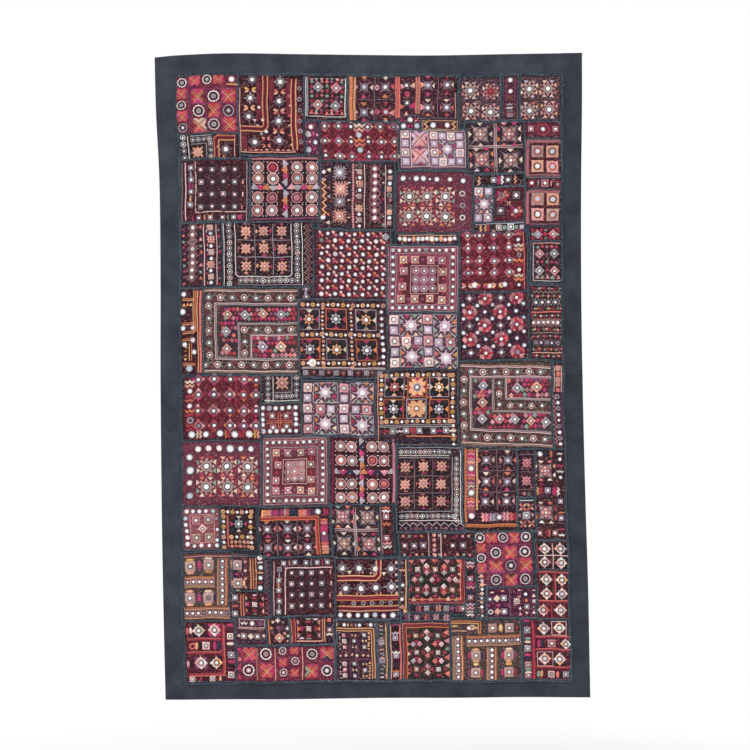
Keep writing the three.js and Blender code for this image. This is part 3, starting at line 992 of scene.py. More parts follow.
def zigzag(dye, width, x0, y0, x1, y1, pitch, reach):
    """A cord that swings to both sides of a line, by reach each way and once in each pitch."""
    length = math.hypot(x1 - x0, y1 - y0)
    count = max(2, round(length / pitch * 2))
    t = np.linspace(0, 1, count + 1)
    side = reach * np.where(np.arange(count + 1) % 2, 1, -1)
    nx, ny = -(y1 - y0) / length, (x1 - x0) / length
    cord(np.stack([x0 + (x1 - x0) * t + nx * side, y0 + (y1 - y0) * t + ny * side], 1), width, dye)


def run(codes, x0, y0, x1, y1, pitch, s, loose=0.3):
    """Repeats a few motifs at a pitch from one point to another."""
    codes = codes.split()
    count = fitting(x0, y0, x1, y1, pitch)
    row(" ".join(codes[i % len(codes)] for i in range(count)), x0, y0, x1, y1, s, loose=loose)


# ----------------------------------------------------------
# Cross-and-ring patches: squares of crossed orange cords over red and magenta wedges take turns
# with scalloped white rings round a mirror, on plum cotton.

def lattice(dye, width, x0, x1, y0, y1, across, down):
    """Straight lines of stitching that part a block into cells."""
    upright(dye, width, np.linspace(x0, x1, across + 1), y0, y1)
    level(dye, width, np.linspace(y0, y1, down + 1), x0, x1)


row("Oww12 XjmR Oww12 XjmR Ogw12", 62, 66, 62, 173, 13)
row("XjRm Oww12 XjRr", 92, 63, 148, 62, 12.5)
stitch("op", 179, 62, 10)
level("y", 3.5, 74, 167, 193)
block("Xjfmrm Oww15 XjRRmr|Oww15 XjmRxR Ogq15|XjeRfe Oww15 XjRrmR", 101, 101, 172, 168, 17)
lattice("v", 1.8, 83, 190, 83, 186, 3, 3)
upright("v", 2, 78, 52, 186)
sew("cross_ring_top", 49, 193, 51, 187, "#5f2238", "vmcdx", 8.5)

row("Oww13 XjRr13 Oww13 XjmR13 Oww13", 749, 1142, 856, 1142, 13)
row("XjRr Oww XjmR", 749, 1165, 749, 1212, 12)
block("Oww14 XjRRrm Oww14|XjRmRf Ogg14 XjRmrR|Oww14 XjmRrx Oww14", 784, 1177, 853, 1241, 16)
lattice("v", 1.8, 766, 869, 1160, 1257, 3, 3)
run(":p", 742, 1236, 758, 1252, 8, 4)
sew("cross_ring_right", 739, 870, 1130, 1258, "#5f2238", "vmcdx", 8.5)

block("XjRmfR Owp15|Owp15 XjmRrR", 197, 1412, 238, 1451, 17)
block("Owp10 XjRr|XjRm Owp10|Owp10 XjRr", 278, 1405, 305, 1456, 10)
block("Oww14 XjRnmr|XjmRtR Oww14", 346, 1414, 381, 1454, 16)
upright("k", 2.4, (217, 260, 324), 1398, 1474)
level("v", 2, 1432, 180, 258)
row("qm qc qm qr", 176, 1403, 176, 1468, 6)
sew("cross_ring_foot", 170, 401, 1397, 1476, "#5f2238", "vmcdx", 8.5)

# ----------------------------------------------------------
# Corded maroon patches: pairs of peach cords turn square corners through a dark maroon field of
# grey eight-pointed stars and small bow-ties in gold, peach and coral.

def corded(dye, middle, *points):
    """A pair of bright cords, a pair of crimson ones inside it and a single one in the middle."""
    twin(dye, 3.0, 11, *points)
    twin("rr", 2.2, 5.6, *points)
    line(middle, 2.6, *points)


corded("jj", "x", (257, 52), (257, 170), (250, 177), (197, 177))
corded("jj", "x", (324, 60), (323, 228))
line("k", 2.6, (198, 80), (196, 232), (325, 232))
row("*g _ *g _ *g", 227, 61, 218, 149, 13)
row("nyk15 _ nkj15", 222, 86, 221, 128, 15)
row("*g nck15 *g nkc15 *g nck15 *g", 292, 66, 287, 205, 14)
stitch("*g", 230, 208, 14)
row("nkc11 nck11", 256, 200, 256, 216, 9)
row("ow5 _ ow5 _ ow6", 244, 127, 258, 184, 5)
run("0g", 338, 83, 338, 208, 25, 6)
for x, y0, y1 in ((272, 56, 112), (242, 60, 160), (311, 60, 150), (335, 140, 222), (205, 190, 226)):
    pad("square", x, (y0 + y1) / 2, 6, (y1 - y0) / 2, "f", 0, 0.3)
    run("dx6 _", x, y0, x, y1, 15, 6)
run(":k :c", 206, 227, 320, 227, 13, 6)
run("<c5 <k4", 314, 100, 314, 215, 23, 4)
row("ve :w _ vt", 232, 158, 246, 187, 5)
sew("corded_maroon_top", 196, 348, 51, 236, "#2b1019", "dxdf", 9)

corded("oj", "x", (185, 199), (143, 199), (138, 204), (138, 244))
line("k", 2.6, (182, 196), (180, 244))
stitch("*g", 160, 226, 14)
row("^k5 ^o5", 140, 222, 155, 243, 5)
sew("corded_star_left", 131, 190, 192, 246, "#2b1019", "dxdf", 9)

row("*g " * 4, 422, 1212, 537, 1213, 15)
row("*g " * 4, 430, 1260, 537, 1256, 15)
corded("jj", "x", (507, 1191), (507, 1228), (500, 1235), (410, 1236))
corded("oj", "r", (409, 1283), (555, 1281))
corded("kj", "x", (412, 1308), (555, 1306))
row("0g " * 5, 448, 1294, 536, 1293, 6)
row("ow8 ow8 ow8 ow10 ow9 ow8 ow9", 417, 1323, 540, 1323, 8)
row("ve _ nek7 _ nek7 _ ve", 438, 1221, 520, 1225, 6)
row("^k _ nck8 _ nck8 _ ^k", 418, 1272, 550, 1271, 6)
run(">e5 :k5", 549, 1200, 549, 1270, 14, 5)
sew("corded_maroon_foot", 408, 556, 1191, 1330, "#2b1019", "dxdf", 9)

# ----------------------------------------------------------
# Chained patches: rows of small grey rings between pale cords frame a black field, with a round
# peach flower or two in the field.

def chain(x0, y0, x1, y1, pitch, s=5.5):
    """A run of small stitched rings, each round a fleck of mirror."""
    for x, y in spaced(x0, y0, x1, y1, fitting(x0, y0, x1, y1, pitch)):
        ring(x, y, s * 0.76, s * 1.08, "gPgw"[chance.integers(4)], 1.1, sides=12)
        ring(x, y, s * 0.34, s * 0.76, "d", 0.8, sides=10)
        glint(x, y, s * 0.36, 0, 0.9)


def leaf_pairs(across, down, beside, above, width, dyes, first=0):
    """Two leaves at each flower of a block, above and below it or on its left and right by turns;
    first is 1 where the first flower has them at its sides."""
    for k, (x, y) in enumerate((x, y) for y in down for x in across):
        sideways = (k + first) % 2
        for side in (-1, 1):
            spot = (x + side * beside, y) if sideways else (x, y + side * above)
            pad("leaf", *spot, 5.5, width, dyes[(2 * k + side) % len(dyes)], 90 * sideways)


chain(61, 196, 61, 243, 13.5, 6.2)
upright("w", 2.2, 72, 192, 246)
chain(84, 202, 122, 202, 12)
chain(124, 213, 124, 243, 12)
line("g", 2, (78, 212), (114, 212), (114, 246))
level("g", 2, 193, 78, 128)
stitch("fkP", 93, 232, 13)
sew("chained_flower_left", 55, 130, 191, 247, "#15161b", "dqds")

upright("w", 2, 151, 400, 547)
chain(164, 405, 164, 542, 13.5, 6)
line("w", 2, (178, 400), (178, 520), (184, 525), (306, 525), (312, 519), (312, 400))
upright("g", 1.8, (225, 268), 402, 520)
level("g", 1.8, (439, 479), 182, 310)
block("fkv _ fkz _ fkv|_ _ _ _ _|fkz _ fkv _ fkz|_ _ _ _ _|fkv _ fkz _ fkv", 203, 418, 289, 500, 12)
leaf_pairs((203, 246, 289), (418, 459, 500), 17, 16.5, 3.4, "mktmrz")
chain(190, 534, 325, 534, 13.5, 6)
chain(325, 405, 325, 522, 13.5, 6)
level("g", 2, 544, 184, 335)
upright("w", 2, 337, 400, 546)
zigzag("a", 1.6, 347, 402, 347, 546, 15, 5)
zigzag("z", 1.6, 355, 402, 355, 546, 15, 5)
sew("chained_flowers_nine", 150, 361, 398, 548, "#1c161d", "ddqx", 11)

level("g", 2.2, 929, 558, 712)
chain(566, 939, 680, 939, 12, 5.5)
twin("gw", 1.8, 5, (560, 950), (680, 950))
for x, y in ((597, 996), (640, 1036)):
    upright("q", 1.8, x, 955, 1074)
    level("q", 1.8, y, 560, 680)
block("fkv fkz fkv|fkz fkv fkz|fkv fkz fkv", 576, 974, 660, 1056, 12)
leaf_pairs((576, 618, 660), (974, 1015, 1056), 16, 16, 2.4, "kczmtr", 1)
upright("g", 2.2, 686, 950, 1080)
chain(696, 955, 696, 1100, 12, 5.5)
upright("w", 2, 706, 935, 1108)
level("g", 2, 1080, 560, 684)
chain(566, 1091, 690, 1091, 12, 5.5)
level("w", 2, 1101, 560, 704)
zigzag("g", 2.4, 558, 1110, 712, 1110, 18, 4)
run("^v vq", 564, 1120, 706, 1120, 12, 5)
sew("chained_flowers_middle", 557, 713, 925, 1127, "#1c161d", "ddqx", 11)

chain(255, 764, 255, 816, 12, 5.5)
upright("w", 2, 267, 760, 820)
stitch("fkv", 288, 775, 15)
line("g", 2, (311, 760), (311, 797), (270, 797))
chain(276, 806, 322, 806, 12, 5.5)
chain(322, 764, 322, 794, 12, 5.5)
level("w", 2, 817, 246, 330)
sew("chained_flower_middle", 240, 331, 757, 822, "#15161b", "dqds")

# ----------------------------------------------------------
# Ringed-diamond patches: grey and rose diamond frames round a dark-ringed mirror, small crimson,
# mint and mauve diamonds between them, held in pale cords.

twin("wg", 2.2, 4, (355, 55), (355, 148))
level("w", 2.2, 148, 360, 446)
upright("w", 2.4, 445, 55, 148)
block("Lg _ Lp|_ _ _|Lp _ Lg", 381, 79, 423, 121, 12)
block("dt dr dz dc dv dr dt|dr _ dz dt dr _ dv|dz _ dc dr dv _ dr|dt dr dz dt dr dv dt|"
      "dr _ dt dv dr _ dz|dv _ dr dz dt _ dr|dr dt dv dr dc dz dr", 367, 66, 437, 134, 5)
run("vz vt vp", 366, 60, 438, 60, 12, 5)
run("^c ^p ^r", 366, 140, 438, 140, 12, 6)
sew("diamond_small_top", 351, 450, 52, 156, "#221a20", "dvrq")

row("Lg10 _ Lp10", 897, 428, 934, 428, 10)
block("dr dm4 dr dt4 dx dm4 dr|dt4 _ dm dr6 dm _ dt4|dr dx4 dr dt4 dr dm4 dx", 886, 418, 945, 438, 5)
sew("diamond_pair_right", 880, 951, 411, 443, "#3a1624", "xvrf", 6)

level("k", 2.4, 449, 884, 950)
line("g", 2.6, (885, 452), (885, 538), (950, 538))
block("Lp _ Lg|_ _ _|Lg _ Lp", 900, 474, 935, 514, 11)
block("dt dr dz dc dr|dr _ dv _ dt|dz dr dt dr dv|dr _ dr _ dz|dt dc dv dt dr", 896, 458, 940, 530, 5)
run("^p ^t", 894, 530, 944, 530, 12, 6)
sew("diamond_four_right", 881, 951, 446, 545, "#221a20", "dvrq")

# ----------------------------------------------------------
# Facing-triangle patches: lilac-ringed mirrors on mauve squares, with satin triangles pointing at
# them from four sides in magenta, cream, pink and orange, and toothed bands between blocks.

def facing(x, y, half_x, half_y, dyes):
    """A ringed mirror on a square, with a triangle towards it from each side of its cell. The
    dyes are those of the square, then of the triangles right, below, left and above."""
    s = 8.0
    for k in range(4):
        spoke("leaf", x, y, s, 45 + 90 * k, 1.5, 0.9, 0.2, "q", 0, 0.6)
    pad("square", x, y, s * 1.15, s * 1.15, dyes[0], 0, 0.7)
    ring(x, y, s * 0.62, s * 0.8, "d", 1.3, sides=12)
    ring(x, y, s * 0.44, s * 0.68, "l", 1.4, sides=12)
    glint(x, y, s * 0.5, 1 if chance.random() < 0.4 else 0, rise=1.2)
    for k, dye in enumerate(dyes[1:]):
        turn, reach = 90 * k, (half_x, half_y)[k % 2]
        tip = "P" if dye == "e" else "z"
        if dye != "_":
            pad("up", *offset(x, y, reach * 0.78, 0, turn), s, reach * 0.22, dye, turn - 90)
            pad("up", *offset(x, y, reach * 0.85, 0, turn), s * 0.5, reach * 0.1, tip, turn - 90, 1.4)


def toothed(dye, tooth, x0, y0, x1, y1, width, pitch):
    """A broad satin band with a dark ladder of buttonhole teeth down the middle."""
    line(dye, width, (x0, y0), (x1, y1))
    length = math.hypot(x1 - x0, y1 - y0)
    turn = math.degrees(math.atan2(y1 - y0, x1 - x0))
    for k in range(int(length / pitch)):
        spot = offset(x0, y0, (k + 0.5) * pitch, 0, turn)
        pad("square", *spot, pitch * 0.26, width * 0.24, tooth, turn, 2.2)


line("o", 10, (458, 50), (459, 155))
line("p", 2.5, (456, 50), (457, 155))
toothed("j", "d", 467, 52, 467, 154, 6, 5)
facing(489, 76, 24, 29, "qempo")
facing(539, 76, 24, 29, "qcoPe")
facing(489, 135, 24, 26, "qempo")
facing(540, 135, 24, 26, "rcepr")
row("hp7 hm7", 520, 76, 520, 135, 7)
upright("q", 2, 514, 52, 155)
level("q", 2, 105, 472, 560)
row("^m6 vo6", 489, 153, 540, 153, 6)
line("c", 5, (571, 52), (572, 148))
toothed("c", "b", 565, 52, 566, 148, 8, 5)
row("<m7 <p8", 556, 74, 556, 136, 8)
row(">p7 >c7", 578, 74, 578, 122, 7)
row("Bq hm7 Bq _", 589, 72, 590, 134, 7)
row("vc6 ^k6", 590, 96, 590, 140, 6)
twin("cc", 3, 8, (615, 52), (615, 140))
twin("kk", 1.5, 3, (615, 52), (615, 140))
row("<k8 <m9", 604, 73, 604, 122, 8)
row(">k8 >p9", 626, 73, 626, 124, 8)
facing(638, 73, 17, 26, "qem_m")
facing(683, 71, 17, 26, "qercr")
facing(639, 125, 17, 22, "qpo_e")
facing(683, 125, 17, 22, "qcrce")
upright("q", 2, 662, 52, 148)
line("k", 2.4, (703, 90), (704, 150))
sew("facing_triangles_top", 452, 706, 50, 157, "#2c1a24", "mxvx", 10)

toothed("o", "x", 718, 930, 718, 1104, 6, 8)
toothed("j", "x", 745, 930, 745, 1076, 5, 8)
for y, dye in zip(range(946, 1079, 22), "mzmvpmv"):
    pad("square", 731, y, 10, 11, dye, 0, 0.5)
row("Mop Mpk ow9 Mko Mpe ow11 Mok Mpo ow9", 731, 940, 731, 1090, 9)
for x, dye in zip((764, 786, 808, 829), "mqvm"):
    pad("square", x, 1093, 10, 10, dye, 0, 0.5)
row("skp10 slg9 ow8 spk10 sor9", 762, 1093, 830, 1093, 9)
toothed("o", "b", 714, 1113, 837, 1113, 9, 7)
facing(767, 958, 22, 26, "qemcr")
facing(818, 960, 22, 26, "qcope")
facing(766, 1009, 22, 25, "qcope")
facing(816, 1010, 22, 25, "qemco")
facing(765, 1056, 22, 20, "qe_cm")
facing(814, 1057, 22, 20, "qp_ce")
upright("q", 2, 792, 932, 1076)
level("q", 2, (984, 1034), 750, 836)
sew("facing_triangles_right", 713, 838, 928, 1125, "#241820", "ddqx", 13)

for x, dye in zip(range(246, 357, 22), "omvncv"):
    pad("square", x, 1081, 11, 8, dye, 0, 0.5)
row("sjk8 spv8 svm8 skc8 _ sop8 smn8 ow9 smr8", 242, 1081, 388, 1080, 8)
line("r", 4, (233, 1094), (367, 1094), (367, 1180))
twin("oo", 2.6, 7, (233, 1094), (367, 1094), (367, 1180))
for y, dye in zip((1104, 1122, 1140, 1156, 1171), "mmvmo"):
    pad("square", 383, y, 9, 9, dye, 0, 0.5)
row("Mok8 _ ow7 _ Moj8 Mpk8", 383, 1102, 383, 1172, 8)
for y in (1119, 1163):
    for x, dyes in ((249, "cmpo"), (296, "emce"), (343, "cepr")):
        facing(x, y, 23, 22, "q" + dyes)
upright("q", 2, (272, 319), 1100, 1180)
sew("facing_triangles_foot", 231, 396, 1069, 1183, "#241820", "ddqx", 13)

# ----------------------------------------------------------
# Dense red patches: mirrors close together on dark red, peach and cream petals wedged between
# them, a diagonal net of couched thread, and here and there a thick zigzag like an M.

def trellis(dye, width, x0, x1, y0, y1, pitch_x, pitch_y):
    """A net of thread in both diagonals, as zigzags side by side."""
    count = max(1, round((y1 - y0) / pitch_y))
    for k in range(count):
        y = y0 + (k + 0.5) * (y1 - y0) / count
        for side in (1, -1):
            zigzag(dye, width, x0, y, x1, y, pitch_x, side * (y1 - y0) / count / 2)


TIPS = ("pcmm", "P_oz", "z_me", "k_Pm", "_oc_", "rmcP", "_m_P", "emzc")


def mirror_cells(across, down, half_x, half_y, s, halos, step_x, step_y):
    """Small mirrors in rows. The dye behind each and its bright tips move on from one to the next,
    the tips by step_x along a row and by step_y from row to row."""
    for j, y in enumerate(down):
        for i, x in enumerate(across):
            tips = TIPS[(step_x * i + step_y * j) % len(TIPS)]
            cell(x, y, half_x, half_y, s, halos[(i + 3 * j) % len(halos)], tips)


mirror_cells((395, 428, 457, 497, 527, 558), (170, 205, 240), 16, 17, 6.2, "zvfz", 5, 3)
row("Mek13 0l8 Moc13 0t9 Mrr13", 477, 172, 476, 242, 12)
trellis("r", 1.5, 388, 468, 156, 249, 32, 35)
trellis("r", 1.5, 486, 566, 156, 249, 32, 35)
glint(477, 189, 5, 1, 1.0)
glint(476, 225, 5.5, 1, 1.0)
sew("dense_red_top", 385, 569, 160, 251, "#4c1824", "xfdrx", 6.5)

mirror_cells((730, 758, 792, 828), (427, 457, 488, 516), 17, 15, 6.0, "zvrz", 3, 5)
row("Mrc10 ow6 Mek11 0g6 Mor11 ow6 Meo11 ow6", 851, 423, 851, 546, 9)
row("nce15 ow9 nom15 ow9 nkj15 ow9 sr8", 728, 546, 836, 546, 8)
trellis("r", 1.5, 716, 840, 412, 531, 33, 30)
line("c", 3, (863, 422), (864, 556))
sew("dense_red_right", 713, 869, 418, 560, "#4c1824", "xfdrx", 6.5)

row("Mek11 ow Mrc11 ow Mor11 0g Mrr11", 70, 776, 70, 880, 9)
mirror_cells((90, 127, 165, 198, 227), (767, 803, 841, 876), 17, 18, 7.0, "vzrz", 5, 5)
line("r", 4, (179, 830), (179, 763), (234, 763))
row("ow11 sek9 ow10 srf9 ow12 sor9 ow11 srr9 ow11 syk9", 73, 896, 226, 896, 9)
trellis("r", 1.5, 82, 232, 760, 888, 36, 37)
sew("dense_red_left", 55, 236, 757, 908, "#4c1824", "xfdrx", 6.5)

# ----------------------------------------------------------
# Little magenta scraps: odd corners filled with bright mirrors and magenta petals.

block("wm7 ow _|ow xmp wmp|wmp _ ow|ow wm _", 355, 174, 372, 226, 8.5)
trellis("v", 1.8, 350, 379, 164, 236, 16, 18)
sew("magenta_scrap_left", 349, 381, 160, 238, "#4c1c38")
row("ow wm ow", 581, 169, 612, 169, 8.5)
row("xm ow xmp", 580, 154, 614, 154, 8)
sew("magenta_scrap_right", 572, 623, 147, 180, "#4c1c38")

oblong("j", 1.8, 626, 708, 156, 177)
zigzag("j", 3.6, 634, 157, 634, 176, 12, 4)
row("ow9 xff10 ow9", 650, 167, 684, 166, 9)
zigzag("j", 3.6, 700, 157, 700, 176, 12, 4)
sew("gold_zigzag_strip", 624, 711, 152, 181, "#2a0f14")

# ----------------------------------------------------------
# Lilac-square patches: small squares of pink satin round a mirror take turns with lilac
# satin squares; larger blocks hold an eight-pointed lilac star with scraps of colour round it.

def soft_square(x, y, s, dye):
    """A lilac satin square, its sides drawn in, with a white disc at its middle."""
    pad("square", x, y, s * 0.92, s * 0.92, "g" if chance.random() < 0.3 else dye, 0, 0.6)
    pad("cross_star", x, y, s * 1.34, s * 1.34, dye, 45, 0.9)
    pad("disc", x, y, s * 0.42, s * 0.42, "w", 0, 1.3)


def ring_square(x, y, s):
    """A pale pink satin square round a dark ring, a white ring and a mirror."""
    pad("square", x, y, s * 1.08, s * 1.08, "p" if chance.random() < 0.25 else "P", 0, 0.8)
    ring(x, y, s * 0.46, s * 0.68, "d", 1.3, sides=8, turn=22.5)
    ring(x, y, s * 0.3, s * 0.46, "w", 1.3, sides=12)
    glint(x, y, s * 0.36, rise=1.1)


def squares(codes, x0, y0, x1, y1, s):
    """A run of small squares: p for a pink ringed mirror, l for lilac satin."""
    for code, (x, y) in zip(codes, spaced(x0, y0, x1, y1, len(codes))):
        if code == "p":
            ring_square(x, y, s)
        else:
            soft_square(x, y, s, code)


def great_star(x, y, s, dye, scraps):
    """A big eight-pointed star in a box whose edge is filled with triangles pointing inwards."""
    pad("star", x, y, s * 0.62, s * 0.62, "P", 22.5, 0.6)
    for k in range(8):
        spoke("diamond", x, y, s, 45 * k, 0.5, 0.36, 0.13, dye, 0, 1.0)
        side = round(k / 2 + 0.01)
        pad("up", *offset(x, y, s * 1.0, 0, 45 * k + 22.5), s * 0.3, s * 0.24, scraps[k % len(scraps)],
            90 * side - 90)
    for k in range(4):
        spoke("square", x, y, s, 45 + 90 * k, 1.14, 0.3, 0.035, "w")
    pad("disc", x, y, s * 0.4, s * 0.4, dye, 0, 1.3)
    ring(x, y, s * 0.16, s * 0.3, "w", 1.6, sides=12)
    glint(x, y, s * 0.22, 0, rise=1.9)


def star_frames(spans_x, spans_y):
    """A thin grey frame round each of the stars of a block."""
    for x0, x1 in spans_x:
        for y0, y1 in spans_y:
            oblong("g", 1.8, x0, x1, y0, y1)


squares("plpl", 584, 188, 584, 252, 9)
for y, dyes in ((199, "Pppll"), (240, "Pllpp")):
    stitch("X" + dyes, 618, y, 18)
    row("ol5 ol5" if y > 220 else "op5 op5", 607, y, 629, y, 5)
squares("plpl", 652, 191, 652, 252, 9)
squares("lpl", 672, 192, 712, 192, 9)
squares("lpl", 712, 212, 712, 252, 9)
squares("pl", 672, 253, 692, 253, 9)
great_star(682, 223, 19, "l", "tmeorg")
oblong("P", 2, 573, 725, 180, 265)
upright("w", 2, (597, 638), 181, 264)
sew("lilac_squares_top", 569, 728, 179, 269, "#6b5163", "Plgw")

squares("pl", 757, 323, 780, 323, 9.5)
great_star(770, 353, 20, "l", "tekgro")
squares("lp", 757, 385, 780, 385, 9.5)
sew("lilac_star_right", 745, 791, 312, 398, "#5b4354", "Plgw")

for x in (555, 635):
    squares("plplp", x, 626, x, 727, 10.5)
for x, y, scraps in ((596, 640, "teocgm"), (596, 714, "mtrkoe"),
                     (675, 642, "koetgr"), (676, 718, "tymecg")):
    great_star(x, y, 25, "l", scraps)
squares("pl", 583, 677, 611, 677, 10.5)
squares("lp", 660, 680, 688, 680, 10.5)
star_frames(((568, 622), (648, 703)), ((614, 664), (691, 738)))
sew("lilac_squares_middle", 541, 706, 611, 741, "#4a3642", "Plgw")

for x in (349, 435):
    squares("plplp", x, 787, x, 884, 10)
for x, y, scraps in ((391, 799, "mterko"), (391, 873, "etgmor"),
                     (478, 798, "oktemg"), (477, 875, "tgekrm")):
    great_star(x, y, 24, "l", scraps)
squares("pl", 379, 838, 404, 838, 10)
squares("lp", 463, 838, 489, 838, 10)
star_frames(((363, 420), (450, 504)), ((776, 822), (852, 896)))
sew("lilac_squares_lower", 338, 507, 774, 899, "#4a3642", "Plgw")

# ----------------------------------------------------------
# Sun-flower patches: large eight-pointed suns in peach, tan and pink round a mirror, on brown or
# plum cotton, with small cream and coral triangles tucked between the points.

def sun(x, y, s, dye, scraps, ring_dye="g"):
    """An eight-pointed sun in three rounds of stitching, a ringed mirror (none in a crimson ring),
    and a pair of triangles with their feet on each side of its square."""
    pad("star", x, y, s * 1.04, s * 1.04, "P" if dye in "gP" else "p", 0, 0.5)
    pad("star", x, y, s * 0.94, s * 0.94, "h" if dye == "P" else dye, 0, 0.8)
    pad("flower", x, y, s * 0.8, s * 0.8, "a" if dye != "a" else "z", 22.5, 1.0)
    ring(x, y, s * 0.56, s * 0.68, "u", 1.2, sides=24, lobe=0.06)
    ring(x, y, s * 0.42, s * 0.56, ring_dye, 1.5, sides=24, lobe=0.04)
    ring(x, y, s * 0.26, s * 0.42, "d", 1.7, sides=14)
    if ring_dye != "r":
        glint(x, y, s * 0.29, rise=1.6)
    for k in range(4):
        for side in (-1, 1):
            scrap = scraps[(2 * k + (side > 0)) % len(scraps)]
            spoke("up", x, y, s, 90 * k, 0.94, 0.34, 0.24, scrap, -90, aside=side * 0.46)


for x, y, dye, scraps in ((738, 84, "P", "pkeh"), (740, 133, "h", "hpkP"), (786, 136, "g", "kPzp")):
    sun(x, y, 18.5, dye, scraps)
sun(785, 88, 17, "h", "pPkz", "r")
pad("disc", 785, 88, 9, 9, "r", rise=1.8)
sew("suns_brown_top", 716, 811, 55, 158, "#3c2e38", "qvaz", 9)

row("ow8 ow8", 831, 62, 831, 89, 9)
pad("square", 831, 105, 7, 6, "u", 0, 0.5)
zigzag("v", 2, 822, 58, 822, 112, 9, 2)
zigzag("v", 2, 842, 58, 842, 112, 9, 2)
row("Mg8 Mw7 Mqz8 Mg7", 831, 120, 831, 149, 6)
sew("plum_mirror_strip", 812, 852, 52, 157, "#43202d", "fdxd")

for x, y, dye, scraps in ((876, 85, "P", "eklh"), (920, 85, "h", "kzPl"),
                          (877, 136, "g", "khPc"), (923, 134, "a", "pjPk")):
    sun(x, y, 18.5, dye, scraps)
sew("suns_brown_right", 853, 949, 54, 158, "#3c2e35", "qvaz", 9)

row("ow9 og4 ow9 ow9 og4 ow9 _ ow8", 577, 292, 688, 295, 9)
row("ow8 _ 0w8 _ 0g8 _ 0w8 _", 719, 298, 718, 400, 11)
for x, y, dye, scraps in ((592, 336, "P", "etcr"), (634, 335, "k", "erkc"), (678, 336, "k", "etoe"),
                          (592, 382, "p", "tece"), (634, 382, "P", "rekc"), (678, 383, "k", "ceko")):
    sun(x, y, 20.5, dye, scraps)
sew("suns_plum_middle", 563, 742, 278, 421, "#5e2c3c", "zdvf")

row("ow10 ow9 ow9 ow12 ow9 ow9", 87, 930, 212, 930, 9)
row("ow10 ow13 ow10 ow10", 67, 949, 67, 1040, 10)
for x, y, dye, scraps in ((106, 972, "P", "etcr"), (155, 972, "p", "erkc"), (204, 972, "k", "etoe"),
                          (106, 1020, "p", "tece"), (156, 1020, "P", "rekc"), (204, 1020, "z", "ceko")):
    sun(x, y, 21.5, dye, scraps)
sew("suns_plum_left", 51, 233, 914, 1063, "#5e2c3c", "zdvf")

# ----------------------------------------------------------
# Diamond-star patches: a small eye in a diamond in each quarter, mauve and slate leaves round it,
# cream, magenta and pink triangles at the sides, and a pale double cord between the quarters.

def diamond_star(x, y, s, dyes):
    """A small eye in a coral diamond on a drawn-in grey square, ringed with triangles: one to a
    side where a single dye is given, otherwise two."""
    pad("square", x, y, s * 0.62, s * 0.62, "q", 0, 0.5)
    pad("cross_star", x, y, s * 0.9, s * 0.9, "a", 45, 0.9)
    rim, field, middle = "xpx" if len(dyes) > 1 else "dhu"
    pad("diamond", x, y, s * 0.66, s * 0.66, rim, 0, 1.2)
    pad("diamond", x, y, s * 0.54, s * 0.54, field, 0, 1.5)
    pad("cross_star", x, y, s * 0.42, s * 0.42, middle, 45, 1.8)
    pad("diamond", x, y, s * 0.27, s * 0.27, "k", 0, 2.1)
    ring(x, y, s * 0.08, s * 0.16, "d", 2.5, sides=12)
    glint(x, y, s * 0.1, 0, rise=2.5)
    aside = (0,) if len(dyes) == 1 else (-0.42, 0.42)
    for k in range(4):
        spoke("leaf", x, y, s, 45 + 90 * k, 0.84, 0.15, 0.09, "qs"[k % 2], 0, 1.1)
        for n, shift in enumerate(aside):
            spoke("up", x, y, s, 90 * k, 0.87, 0.29, 0.17, dyes[(2 * k + n) % len(dyes)], -90, 1.2, shift)


for x, y, dyes in ((761, 188, "e"), (829, 190, "ePmcompm"), (763, 248, "ocmlPcem"), (831, 252, "e")):
    diamond_star(x, y, 29, dyes)
pad("square", 796, 220, 3.5, 58, "q", 0, 0.5)
pad("square", 796, 218, 64, 3.5, "q", 0, 0.5)
twin("PP", 1.5, 5, (796, 162), (796, 278))
twin("PP", 1.5, 5, (732, 218), (860, 219))
sew("diamond_stars_right", 728, 863, 160, 281, "#201d24", "dqdd", 12)

for x, y, dyes in ((428, 1091, "mcPoemtc"), (486, 1092, "e"), (428, 1154, "e"), (487, 1155, "ePmcompm")):
    diamond_star(x, y, 27, dyes)
pad("square", 456, 1125, 3.2, 58, "q", 0, 0.5)
pad("square", 459, 1122, 51, 3.2, "q", 0, 0.5)
twin("PP", 1.5, 5, (456, 1068), (456, 1183))
twin("PP", 1.5, 5, (408, 1122), (510, 1122))
sew("diamond_stars_foot", 404, 513, 1065, 1185, "#201d24", "dqdd", 12)

row("ow8 qn6 so8", 893, 946, 920, 946, 8)
diamond_star(906, 986, 25, "kPec")
for x, dye in zip((893, 912, 931), "fdm"):
    pad("square", x, 1034, 9, 9, dye, 0, 0.5)
row("sjr9 Blw7 smw9", 892, 1034, 932, 1034, 8)
row("qf6 qd6 qf6", 896, 1018, 928, 1018, 6)
diamond_star(907, 1085, 26, "mcewomPc")
row("Bp6 src8 Bp6", 891, 1133, 926, 1133, 7)
row("Mw6 ow6 Mm8 Mw8 ow6", 941, 946, 941, 1002, 7)
row("Bl6 Mx6 Mo7 Bl6 _ Mm7 Mw7", 942, 1058, 942, 1138, 7)
sew("diamond_stars_edge", 883, 952, 938, 1149, "#2a1a20", "dqds", 10)

pad("hexagon", 909, 180, 20, 16, "r", 0, 0.3)
pad("hexagon", 909, 180, 16, 12, "f", 0, 0.5)
row("Bp7 ow7 Bp7", 881, 180, 939, 180, 7)
sew("plum_hexagon_strip", 868, 949, 161, 201, "#4f1d2d", "drv")

# ----------------------------------------------------------
# Big-eyed squares: broad rings of pink and peach buttonhole fill whole squares round one mirror,
# framed by dusty red cords.

